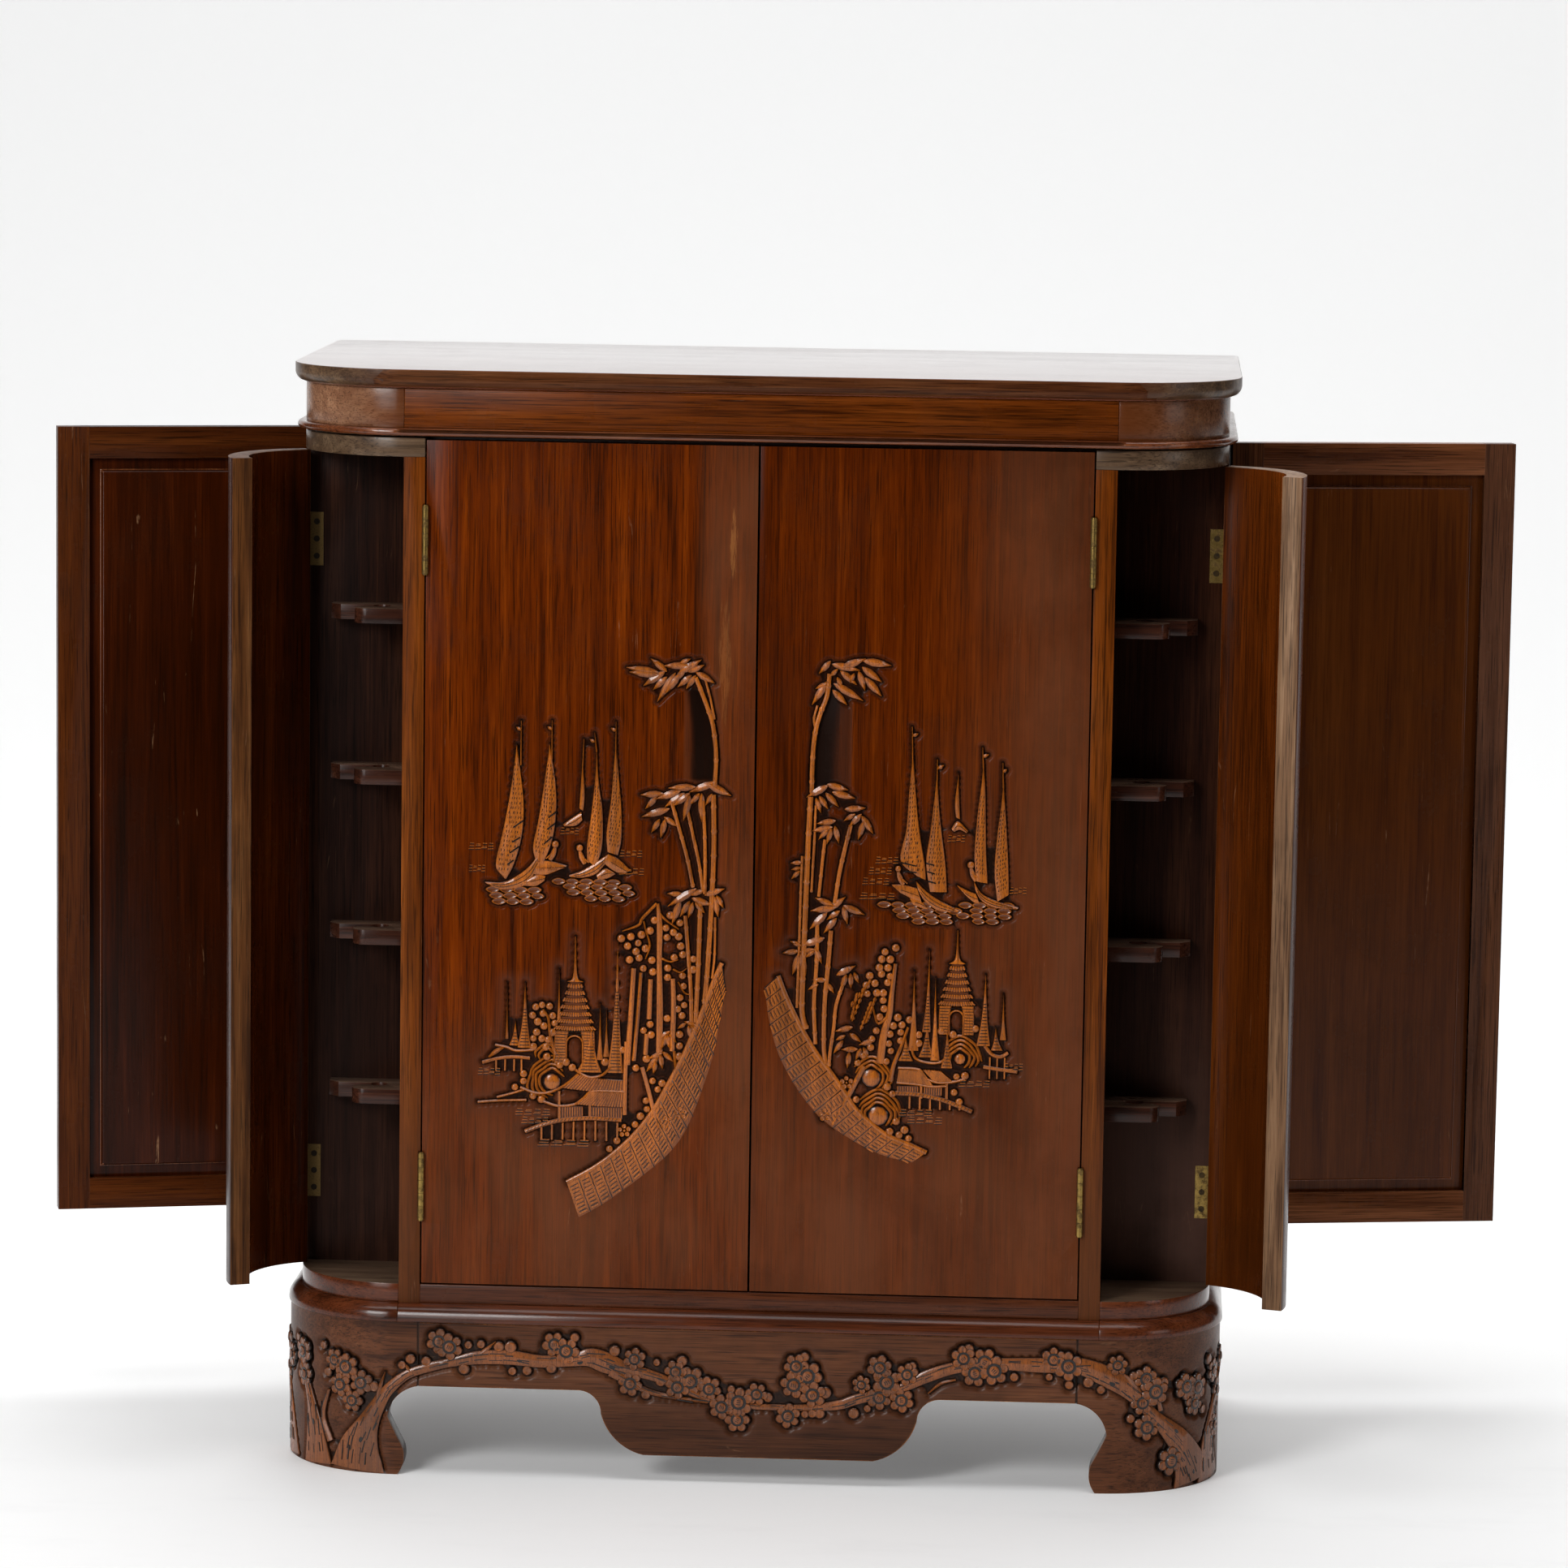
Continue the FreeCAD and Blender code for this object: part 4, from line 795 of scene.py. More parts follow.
def make_blossom_tree():
    """Sets a blossom on each point: petals round a heart."""
    inputs = {"Petal": "object", "Heart": "object", "Petals": "count", "Petal reach": "value",
              "Petal size": "value", "Heart size": "value", "Seed": "count"}
    tree, enter, leave = geometry_group("plum_blossoms", inputs)
    ring = shader(tree, "GeometryNodeMeshCircle", {"Vertices": enter["Petals"],
                                                   "Radius": enter["Petal reach"]}).outputs[0]
    petal_size = maths(tree, "ADD", enter["Petal size"], spread(tree, 0.035, enter["Seed"]))
    petals = set_out(tree, ring, shape_of(tree, enter["Petal"]),
                     Scale=vector(tree, X=petal_size, Y=petal_size, Z=1.0))
    heart_scale = vector(tree, X=enter["Heart size"], Y=enter["Heart size"], Z=1.0)
    button = scaled(tree, shape_of(tree, enter["Heart"]), heart_scale)
    joined = tree.nodes.new("GeometryNodeJoinGeometry")
    tree.links.new(petals, joined.inputs[0])
    tree.links.new(button, joined.inputs[0])
    turn = maths(tree, "ADD", named(tree, "turn"), spread(tree, 0.5, enter["Seed"]))
    placed = set_out(tree, enter["Geometry"], joined.outputs[0], Rotation=vector(tree, Z=turn),
                     Scale=named(tree, "size", "FLOAT_VECTOR"))
    finished(tree, placed, enter["Finish"], leave)
    return tree


def make_stalk_tree():
    """Bamboo stalks along lines: flattened tubes with a swelling at each joint."""
    inputs = {"Joint spacing": "value", "Joint swell": "value", "Flatness": "value", "Sides": "count"}
    tree, enter, leave = geometry_group("bamboo_stalks", inputs)
    line = shader(tree, "GeometryNodeMeshToCurve", {"Mesh": enter["Geometry"]}).outputs[0]
    girth = named(tree, "girth")
    along = shader(tree, "GeometryNodeSplineParameter").outputs["Length"]
    beat = maths(tree, "FRACT", maths(tree, "DIVIDE", along, enter["Joint spacing"]))
    joint = ramp(tree, maths(tree, "ABSOLUTE", maths(tree, "SUBTRACT", beat, 0.5)), 0.0, 0.07, 1.0, 0.0)
    swell = maths(tree, "ADD", 1.0, times(tree, joint, enter["Joint swell"]))
    sized = shader(tree, "GeometryNodeSetCurveRadius", {"Curve": line, "Radius": times(tree, girth, swell)})
    section = shader(tree, "GeometryNodeCurvePrimitiveCircle",
                     {"Resolution": enter["Sides"], "Radius": 1.0}).outputs[0]
    radius = shader(tree, "GeometryNodeInputRadius").outputs[0]
    tube = shader(tree, "GeometryNodeCurveToMesh", {"Curve": sized.outputs[0], "Profile Curve": section,
                                                    "Scale": radius, "Fill Caps": True}).outputs[0]
    flat = scaled(tree, tube, vector(tree, X=1.0, Y=1.0, Z=enter["Flatness"]))
    finished(tree, flat, enter["Finish"], leave)
    return tree


STAMP_TREE = make_stamp_tree()
BLOSSOM_TREE = make_blossom_tree()
STALK_TREE = make_stalk_tree()


KNOB_RINGS = ((1.08, -SINK, 0.0), (1.04, -1.2, 0.0), (0.84, 0.0, 0.8), (0.5, 0.6, 1.0), (0.18, 0.75, 1.0))
PETAL_RINGS = ((1.1, -SINK, 0.0), (1.06, -1.3, 0.0), (0.9, -0.1, 0.4), (0.7, 0.5, 1.0), (0.28, 0.1, 0.75))
KNOT_RINGS = ((1.0, -1.0, 0.0), (0.9, 0.0, 0.0), (0.4, 0.05, 0.0))
# A scale of the water: a raised rim round a hollow
WAVE_RINGS = ((1.0, -SINK, 0.0), (1.0, -0.6, 0.4), (0.88, 0.3, 1.0), (0.68, -0.3, 0.36), (0.28, -0.5, 0.42))
# A cut is a raised dark bar standing for a groove: painted shade. A glint is a raised bright bar: painted
# highlight.
SHAPES = {"leaf": lens_stamp(), "knob": turned_stamp(KNOB_RINGS, 10), "bar": bar_stamp(),
          "cut": bar_stamp(0.0, 1.0), "glint": bar_stamp(1.0, 1.0),
          "wave": turned_stamp(WAVE_RINGS, 14, 0.5, 1.4), "petal": turned_stamp(PETAL_RINGS, 12),
          "heart": heart_stamp(), "knot": turned_stamp(KNOT_RINGS, 10)}
STAMPS = {kind: new_piece(kind + "_stamp", shaded_mesh(kind + "_stamp", *shape))
          for kind, shape in SHAPES.items()}


def run_tree(piece, tree, inputs):
    """Grows the tree on the piece and keeps the result as its plain mesh."""
    grown = piece.modifiers.new("grown", "NODES")
    grown.node_group = tree
    for item in tree.interface.items_tree:
        if item.in_out == "INPUT" and item.name in inputs:
            grown[item.identifier] = inputs[item.name]
    return plain_mesh(piece)


def span(a, b):
    """The length and the turn of the way from a to b."""
    return math.hypot(b[0] - a[0], b[1] - a[1]), math.atan2(b[1] - a[1], b[0] - a[0])


class Relief:
    """The carved shapes of one face."""

    def __init__(self, name, body, slot, place, finish):
        self.name, self.body, self.slot = name, body, slot
        self.place, self.finish = place, finish
        self.verts, self.faces, self.shades = [], [], []
        self.stamped = {kind: [] for kind in list(STAMPS) + ["blossom"]}
        self.stalked = []
        self.feet = []

    def stamp(self, kind, u, w, turn=0.0, length=1.0, width=1.0, h=0.0):
        self.stamped[kind].append((u, w, h, turn, length, width))

    def leaf(self, base_u, base_w, tip_u, tip_w):
        length, turn = span((base_u, base_w), (tip_u, tip_w))
        lift = 0.3 * (len(self.stamped["leaf"]) % 4)
        self.stamp("leaf", base_u, base_w, turn, length, min(2.2 + 0.2 * length, 7.0), lift)

    def bar(self, a, b, width, h=0.3, kind="bar"):
        length, turn = span(a, b)
        self.stamp(kind, (a[0] + b[0]) / 2, (a[1] + b[1]) / 2, turn, length, width, h)

    def knob(self, u, w, radius=3.8, h=0.0):
        self.stamp("knob", u, w, 0.0, radius, radius, h)

    def stalk(self, points, width, h=-0.6):
        self.stalked.append((points, width / 2, h))

    def ribbon(self, left, right, top=0.3, crown=0.5, arris=0.9, shade=1.0, sinks=True):
        """A raised strip between two edges of equally many points."""
        section = []
        for (lu, lw), (ru, rw) in zip(left, right):
            wide = math.hypot(ru - lu, rw - lw)
            inset = min(arris / max(wide, 1e-6), 0.3)
            for share, h, tone in ((0, -SINK, 0.0), (0, top - 0.8, 0.4), (inset, top, 1.0),
                                   (0.5, top + crown, 1.0), (1 - inset, top, 1.0), (1, top - 0.8, 0.4),
                                   (1, -SINK, 0.0)):
                section.append((lu + (ru - lu) * share, lw + (rw - lw) * share, h))
                self.shades.append(tone * shade)
        if sinks:
            self.feet.append(np.array(section))
        start = len(self.verts)
        self.verts += section
        self.faces += [tuple(start + i for i in face) for face in lofted(len(left), RIBBON_POINTS)]

    def limb(self, points, widths, top=0.3, crown=0.8, steps=6, shade=1.0):
        """A strip along a smooth line, as wide at each point as the widths say."""
        line = curve([(*p, w) for p, w in zip(points, widths)], steps)
        left, right = [], []
        for i, (u, w, wide) in enumerate(line):
            ahead, behind = line[min(i + 1, len(line) - 1)], line[max(i - 1, 0)]
            run = np.array([ahead[0] - behind[0], ahead[1] - behind[1]])
            normal = np.array([-run[1], run[0]]) / max(np.linalg.norm(run), 1e-9)
            left.append(np.maximum(np.array([u, w]) + normal * wide / 2, (-np.inf, SOLE)))
            right.append(np.maximum(np.array([u, w]) - normal * wide / 2, (-np.inf, SOLE)))
        self.ribbon(left, right, top, crown, shade=shade)

    def points_piece(self, kind, marks):
        mesh = bpy.data.meshes.new(self.name + "_" + kind)
        mesh.from_pydata([m[:3] for m in marks], [], [])
        mesh.attributes.new("turn", "FLOAT", "POINT").data.foreach_set("value", [m[3] for m in marks])
        size = [value for m in marks for value in (m[4], m[5], 1.0)]
        mesh.attributes.new("size", "FLOAT_VECTOR", "POINT").data.foreach_set("vector", size)
        return new_piece(self.name + "_" + kind, mesh)

    def finish_piece(self, piece, sinks=True):
        """Takes the flat piece to its place. The ground sinks round it unless told otherwise."""
        mesh = piece.data
        flat = np.zeros(len(mesh.vertices) * 3)
        mesh.vertices.foreach_get("co", flat)
        flat = flat.reshape(-1, 3)
        if sinks:
            self.feet.append(flat)
            self.feet.append(np.array([p.center for p in mesh.polygons]))
        mesh.vertices.foreach_set("co", self.place(flat[:, 0], flat[:, 1], flat[:, 2]).ravel())
        bm = bmesh.new()
        bm.from_mesh(mesh)
        bmesh.ops.remove_doubles(bm, verts=bm.verts, dist=MERGE)
        bmesh.ops.recalc_face_normals(bm, faces=bm.faces)
        bm.to_mesh(mesh)
        bm.free()
        mesh.polygons.foreach_set("use_smooth", [True] * len(mesh.polygons))
        mesh.set_sharp_from_angle(angle=CRISP_CARVING)
        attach(piece, self.body)

    def make(self):
        """Makes all the pieces of this carving."""
        spreads = {"leaf": (0.05, 0.06), "knob": (0.5, 0.1), "bar": (0.015, 0.03), "cut": (0.03, 0.05),
                   "glint": (0.03, 0.1), "wave": (0.06, 0.08), "petal": (0.0, 0.12), "knot": (0.2, 0.2)}
        for kind, (turn, size) in spreads.items():
            if self.stamped[kind]:
                piece = self.points_piece(kind, self.stamped[kind])
                run_tree(piece, STAMP_TREE, {"Stamp": STAMPS[kind], "Turn spread": turn, "Size spread": size,
                                             "Seed": SEED, "Finish": self.finish})
                self.finish_piece(piece, kind not in ("cut", "glint", "knot"))
        if self.stamped["blossom"]:
            piece = self.points_piece("blossom", self.stamped["blossom"])
            run_tree(piece, BLOSSOM_TREE, {"Petal": STAMPS["petal"], "Heart": STAMPS["heart"], "Petals": 6,
                                           "Petal reach": 0.66, "Petal size": 0.355, "Heart size": 0.52,
                                           "Seed": SEED, "Finish": self.finish})
            self.finish_piece(piece)
        if self.stalked:
            self.make_stalks()
        if self.verts:
            mesh = shaded_mesh(self.name + "_forms", self.verts, self.faces, self.shades)
            mesh.materials.append(self.finish)
            self.finish_piece(new_piece(self.name + "_forms", mesh), False)

    def make_stalks(self):
        verts, edges, girths = [], [], []
        for points, girth, h in self.stalked:
            line = curve(points, 5)
            steps = int(math.dist(points[0], points[-1]) / STALK_STEP)
            line = [at(line, i / steps) for i in range(steps + 1)]
            start = len(verts)
            verts += [(u, w, h / STALK_FLATNESS) for u, w in line]
            edges += [(start + i, start + i + 1) for i in range(len(line) - 1)]
            girths += [girth] * len(line)
        mesh = bpy.data.meshes.new(self.name + "_stalks")
        mesh.from_pydata(verts, edges, [])
        mesh.attributes.new("girth", "FLOAT", "POINT").data.foreach_set("value", girths)
        piece = new_piece(self.name + "_stalks", mesh)
        mesh = run_tree(piece, STALK_TREE, {"Joint spacing": 23.0, "Joint swell": 0.3,
                                            "Flatness": STALK_FLATNESS, "Sides": 10, "Finish": self.finish})
        for v in mesh.vertices:
            if v.co.z < STALK_WAIST:
                v.co.z = -SINK - 0.2
        shades = [min(max((v.co.z + 2.0) / 2.2, 0.0), 1.0) for v in mesh.vertices]
        mesh.attributes.new("shade", "FLOAT", "POINT").data.foreach_set("value", shades)
        self.finish_piece(piece)


# Ground of the carving: the face is cut back round the carved shapes

def on_door(u, w, h):
    return np.stack([u, DOOR_FACE - h, w], 1) * MM


def off_door(x, y, z):
    return x, z, DOOR_FACE - y


def on_base(u, w, h):
    """Along the front of the base, round the quarter-round foot and back along the side."""
    far = np.abs(u)
    turn = np.clip((far - CORNER_X) / BASE_R, 0.0, math.pi / 2)
    past = np.maximum(far - CORNER_X - BASE_R * math.pi / 2, 0.0)
    x = np.sign(u) * (np.minimum(far, CORNER_X) + (BASE_R + h) * np.sin(turn))
    y = CORNER_Y - (BASE_R + h) * np.cos(turn) + past
    return np.stack([x, y, w], 1) * MM


def off_base(x, y, z):
    """The developed place of points on the base: along, up and out from the face."""
    far = np.abs(x)
    turn = np.arctan2(np.maximum(far - CORNER_X, 0.0), np.maximum(CORNER_Y - y, 0.0))
    past = np.maximum(y - CORNER_Y, 0.0)
    out = np.where(past > 0, far - CORNER_X, np.hypot(np.maximum(far - CORNER_X, 0.0), CORNER_Y - y)) - BASE_R
    along = np.minimum(far, CORNER_X) + BASE_R * turn + past
    return np.sign(x) * along, z, out


def outer_faces(bm, off):
    """The faces that lie on the carved side of a board."""
    found = []
    for face in bm.faces:
        points = np.array([v.co for v in face.verts]) / MM
        out = off(points[:, 0], points[:, 1], points[:, 2])[2]
        if np.abs(out).max() < ON_FACE and abs(face.normal.z) < 0.2:
            found.append(face)
    return found


def cut_across(bm, faces, place, normal):
    """Cuts the faces with one plane and gives back the faces they have become."""
    edges = {e for f in faces for e in f.edges}
    verts = {v for f in faces for v in f.verts}
    cut = bmesh.ops.bisect_plane(bm, geom=[*faces, *edges, *verts], dist=MERGE, plane_co=Vector(place) * MM,
                                 plane_no=normal)
    return [item for item in cut["geom"] if isinstance(item, bmesh.types.BMFace)]


def cell_planes(low, high):
    """Planes that part the developed base from low to high into cells: points and normals."""
    for u in np.arange(low + BASE_CELL / 2, high, BASE_CELL):
        x, y = on_base(np.array([u]), np.array([0.0]), np.array([0.0]))[0][:2] / MM
        turn = min(max((abs(u) - CORNER_X) / BASE_R, 0.0), math.pi / 2)
        yield (x, y, 0.0), Vector((math.cos(turn), math.copysign(math.sin(turn), u), 0))


def sunk_ground(piece, relief, off, region, hollows=()):
    """Cuts a fine grid into the carved side and lowers it round the carved shapes."""
    bm = bmesh.new()
    bm.from_mesh(piece.data)
    scrape_and_shade = bm.verts.layers.float.new("scrape_and_shade")
    faces = outer_faces(bm, off)
    if relief.place is on_door:
        faces = gridded_door(bm, faces, region)
    else:
        for place, normal in cell_planes(*region):
            faces = cut_across(bm, faces, place, normal)
        for w in np.arange(FIRST_CUT, BASE_HEAD, BASE_CELL):
            faces = cut_across(bm, faces, (0, 0, w), Vector((0, 0, 1)))
    verts = list({v for f in faces for v in f.verts})
    places = np.array([v.co for v in verts]) / MM
    u, w, h = off(places[:, 0], places[:, 1], places[:, 2])
    spots = np.stack([u, w], 1)
    away = distances(spots, np.concatenate([flat[:, :2] for flat in relief.feet]))
    close = away < GAP
    over = away[close] - np.maximum(GAP - distances(spots[close], spots[~close]), 0.0)
    away[close] -= over * eased((over - GAP_EDGE) / GAP_RUN) * GAP_SHARE
    depth = SINK * eased((HALO - away) / (HALO - WALL))
    scraped = eased((SCRAPED - away) / SCRAPED) * eased((SHORE_HEAD - w) / SHORE_FADE)
    # Painted shade in the ground next to each carved shape; farther out only the mark of scraped wood
    dark = np.maximum(eased((SHADE_REACH - away) / SHADE_REACH), SCRAPED_MARK * scraped)
    for scoop in hollows:
        deep, black = hollow(u, w, *scoop)
        depth = np.maximum(depth, deep)
        dark = np.maximum(dark, black)
    if relief.place is on_base:
        depth *= eased(np.minimum(w - RIM, BASE_HEAD - RIM - w) / RIM_RUN)
    for v, co, tone in zip(verts, relief.place(u, w, h - depth), dark):
        v.co = co
        v[scrape_and_shade] = tone
    bm.normal_update()
    bm.to_mesh(piece.data)
    bm.free()


def distances(spots, marks):
    """How far each spot is from the nearest mark."""
    tree = kdtree.KDTree(len(marks))
    for i, (u, w) in enumerate(marks):
        tree.insert((u, w, 0.0), i)
    tree.balance()
    return np.array([tree.find((u, w, 0.0))[2] for u, w in spots])


def eased(share):
    share = np.clip(share, 0.0, 1.0)
    return share * share * (3 - 2 * share)


def hollow(u, w, edge, stem, rim, start):
    """A deep scoop from a plain edge to a stem: its painted shade is rim at the edge, and blackens from start on.
    """
    line = curve(stem, 8)
    heights = [p[1] for p in line][::-1]
    stem_u = np.interp(w, heights, [p[0] for p in line][::-1])
    share = (u - edge) / (stem_u - edge)
    ends = eased((w - heights[0]) / SCOOP_FOOT) * eased((heights[-1] - w) / SCOOP_HEAD)
    inside = np.where((share > 0) & (share < 1.1), ends, 0.0)
    black = rim + (1 - rim) * eased((share - start) / SCOOP_BLACK)
    return inside * (SCOOP_RIM + SCOOP_FALL * eased(share)), inside * black


def gridded_door(bm, faces, region):
    """Frames the carved part of a door's face and parts it into square cells."""
    low_u, high_u, low_w, high_w = region
    for place, normal in (((low_u, 0, 0), (1, 0, 0)), ((high_u, 0, 0), (1, 0, 0)),
                          ((0, 0, low_w), (0, 0, 1)), ((0, 0, high_w), (0, 0, 1))):
        faces = cut_across(bm, faces, place, Vector(normal))
    for axis, span in ((0, high_u - low_u), (2, high_w - low_w)):
        inside = [f for f in bm.faces if within(f, region)]
        edges = {e for f in inside for e in f.edges
                 if abs(e.verts[0].co[axis] - e.verts[1].co[axis]) > 0.9 * span * MM}
        bmesh.ops.subdivide_edges(bm, edges=list(edges), cuts=int(span / DOOR_CELL), use_grid_fill=True)
    return [f for f in bm.faces if within(f, region)]


def within(face, region):
    low_u, high_u, low_w, high_w = region
    centre = face.calc_center_median() / MM
    return low_u < centre.x < high_u and low_w < centre.z < high_w and abs(centre.y - DOOR_FACE) < ON_FACE


def ground_piece(node, timber):
    """A softened copy of a carved board, ready for its ground to be cut."""
    return soft_timber(node, [timber], arris=timber + "_arris")


def carvings():
    for side, carve, field, scoop in (("left", left_door, LEFT_FIELD, LEFT_SCOOP),
                                      ("right", right_door, RIGHT_FIELD, RIGHT_SCOOP)):
        door = "front_door_" + side
        relief = Relief(side + "_carving", door, "carved_wood", on_door, CARVED_DOOR)
        carve(relief)
        relief.make()
        sunk_ground(ground_piece(door, "door"), relief, off_door, field, [scoop])
    base = Relief("base_carving", "carcass", "carved_wood", on_base, CARVED_BASE)
    garland(base)
    base.make()
    end = CORNER_X + BASE_R * math.pi / 2 + FOOT_REAR - CORNER_Y
    for node, region in (("front_apron", (-APRON_HALF, APRON_HALF)), ("front_foot_left", (-end, -APRON_HALF)),
                         ("front_foot_right", (APRON_HALF, end))):
        sunk_ground(ground_piece(node, "base"), base, off_base, region)
    for stamp in STAMPS.values():
        bpy.data.meshes.remove(stamp.data)


# Motifs

def each(relief, shape, *marks):
    """Carves the shape once for each of the marks."""
    for mark in marks:
        shape(relief, *mark)


def at(line, share):
    """The point at that share of a line's length."""
    p = np.array(line)
    far = np.concatenate([[0.0], np.cumsum(np.linalg.norm(np.diff(p, axis=0), axis=1))])
    return np.array([np.interp(share * far[-1], far, p[:, i]) for i in range(2)])


def sail(relief, left, right, slits=()):
    """A tall sail between two edges, given from the foot up, stippled and slit at its battens in painted shade."""
    edges = curve(left, 5), curve(right, 5)
    relief.ribbon(*edges, 0.5, 0.7)
    for a, b in slits:
        relief.bar(a, b, 1.6, 1.35, "cut")
    chance = np.random.default_rng(SEED + len(relief.verts))
    for share in np.arange(0.08, 0.86, 0.035):
        a, b = at(edges[0], share), at(edges[1], share)
        if np.linalg.norm(b - a) < 5.0:
            continue
        for across in np.arange(0.2, 0.85, 2.6 / max(np.linalg.norm(b - a), 2.6)):
            mid = a + (b - a) * (across + chance.uniform(-0.06, 0.06))
            lift = 1.0 + 0.3 * (1 - abs(across - 0.5) * 2)
            relief.bar(mid - (0.2, 1.2), mid + (0.2, 1.2), 0.7, lift, "cut")


def mast(relief, foot, head, flag=0.0):
    relief.limb([foot, head], [1.7, 0.7], 0.2, 0.3)
    if flag:
        relief.leaf(head[0], head[1] - 9, head[0] + flag, head[1] - 6)


def hull(relief, deck, keel, planks=1):
    """A hull between its deck line and its keel, with plank lines in painted shade."""
    top, low = curve(deck, 5), curve(keel, 5)
    relief.ribbon(top, low, 0.6, 0.6)
    for i in range(planks):
        share = (i + 1) / (planks + 1)
        line = [a + (b - a) * share for a, b in zip(top, low)]
        for a, b in zip(line[2:-2:2], line[4::2]):
            relief.bar(a, b, 0.7, 1.3, "cut")


def boatman(relief, u, w, side):
    """A tiny hooded figure at the stern, no more than a few chips of the chisel."""
    relief.knob(u, w, 3.2, 0.4)
    relief.limb([(u, w - 3), (u + side * 2, w - 9), (u + side * 5, w - 15)], [3.0, 5.0, 4.0], 0.2, 0.5)
    relief.bar((u + side * 1, w - 7), (u + side * 9, w - 14), 1.4, 0.7)


def waves(relief, rows, pitch=13.0):
    """Rows of water scales, each row half a scale along from the last."""
    for i, (start, end, w) in enumerate(rows):
        u = start + pitch / 2 * (i % 2)
        while u + pitch <= end + 1.0:
            relief.stamp("wave", u + pitch / 2, w, 0.0, pitch * 1.06, 6.6, 0.12 * i)
            u += pitch


def ripples(relief, strokes):
    """Broken strokes in the uncut face: a bright lip, a painted highlight, over a dark cut drawn in painted shade.
    """
    for start, end, w in strokes:
        gap = (end - start) / 4
        for i in range(4):
            for row in (-2.4, 0.0, 2.4):
                lift = row + 0.6 * math.sin(2.1 * i + row)
                a, b = start + gap * (i + 0.12 * row / 2.4), start + gap * (i + 0.8)
                relief.bar((a, w + lift), (b, w + lift * 0.9), 1.0, 0.06, "cut")
                relief.bar((a, w + lift + 1.0), (b, w + lift * 0.9 + 1.0), 0.8, 0.12, "glint")


def spire(relief, apex, left, right, tiles=True):
    """A slim roof that sweeps up to a point, with courses of tiles."""
    edges = []
    for foot in (left, right):
        waist = (apex[0] + (foot[0] - apex[0]) * 0.42, foot[1] + (apex[1] - foot[1]) * 0.38)
        edges.append(curve([foot, waist, apex], 6))
    relief.ribbon(edges[0], edges[1], 0.1, 0.4)
    if tiles:
        low, high = min(left[1], right[1]), apex[1]
        for w in np.arange(low + 2.5, low + (high - low) * 0.62, 3.1):
            a, b = [np.interp(w, [p[1] for p in edge], [p[0] for p in edge]) for edge in edges]
            if b - a < 3.0:
                break
            relief.bar((a * 0.88 + b * 0.12, w), (a * 0.12 + b * 0.88, w), 0.9, 0.75, "cut")


def pagoda(relief, centre, foot, eaves, tiers, half_head, half_foot, finial):
    """Tiled roofs one over another on a brick body with an arched way through."""
    for i in range(tiers):
        w = eaves + TIER * i
        half = half_foot + (half_head - half_foot) * i / (tiers - 1)
        ridge = [(centre - half * 0.82, w + TIER * 0.72), (centre, w + TIER * 0.66),
                 (centre + half * 0.82, w + TIER * 0.72)]
        eave = [(centre - half, w + TIER * 0.2), (centre, w), (centre + half, w + TIER * 0.2)]
        roof(relief, curve(ridge, 4), curve(eave, 4), int(half * 0.85))
        relief.ribbon([(centre - half * 0.7, w + TIER * 0.66), (centre - half * 0.7, w + TIER)],
                      [(centre + half * 0.7, w + TIER * 0.66), (centre + half * 0.7, w + TIER)], -1.0, 0.1,
                      shade=0.4)
    cap = eaves + TIER * tiers
    sides = [curve([(centre + sign * half_head, cap), (centre + sign * 2, cap + 6),
                    (centre + sign * 0.4, finial)], 5) for sign in (-1, 1)]
    relief.ribbon(*sides, 0.3, 0.5)
    brick_body(relief, centre, foot, eaves, half_foot * 0.92)


def brick_body(relief, centre, foot, head, half):
    way = half * 0.4
    spring = foot + (head - foot) * 0.6
    arch = [(centre + way * math.cos(a), spring + way * math.sin(a)) for a in np.linspace(math.pi, 0, 9)]
    outer = [(centre - half, foot), (centre - half, spring), (centre - half * 0.97, head)]
    for side in (-1, 1):
        inner = [(centre + side * way, foot), (centre + side * way, spring),
                 (centre + side * way * 0.7, head)]
        wall = [(centre + side * abs(u - centre), w) for u, w in outer]
        relief.ribbon(wall, inner, -0.3, 0.1)
        for w in np.arange(foot + 2.2, head - 0.5, 2.8):
            reach = way * 1.1 if w < spring + way else 1.0
            relief.bar((centre + side * reach, w), (centre + side * half * 0.96, w), 0.7, 0.12, "cut")
    rim = [(centre - way, foot)] + arch + [(centre + way, foot)]
    relief.limb(rim, [1.8] * len(rim), 0.5, 0.3, 2)


def roof(relief, ridge, eave, courses):
    """A tiled roof between its ridge and its eave."""
    relief.ribbon(ridge, eave, -0.2, 0.1, shade=0.55)
    for i in range(courses):
        share = (i + 0.5) / courses
        relief.bar(at(ridge, share), at(eave, share), 1.5, 0.55)


def eave_line(relief, points, width=2.6):
    relief.limb(points, [width] * len(points), 0.6, 0.5, 4)


def wall(relief, left, right, foot, head, slats):
    """A boarded wall behind a rail, with upright slats."""
    relief.ribbon([(left, foot), (left, head)], [(right, foot), (right, head)], -1.4, 0.0, shade=0.35)
    for i in range(slats):
        u = left + (right - left) * (i + 0.5) / slats
        relief.bar((u, foot + 0.5), (u, head - 0.5), 1.3, -0.5)


def bridge(relief, deck, posts, foot):
    """An arched deck on posts that stand in the water."""
    eave_line(relief, deck, 4.0)
    line = curve(deck, 5)
    for share in np.linspace(0.03, 0.95, posts * 3):
        u, w = at(line, share)
        relief.bar((u - 0.8, w - 1.4), (u + 0.8, w + 1.4), 0.6, 1.25, "cut")
    for share in np.linspace(0.18, 0.96, posts):
        u, w = at(line, share)
        relief.bar((u, w - 2), (u, foot), 2.2, 0.1)


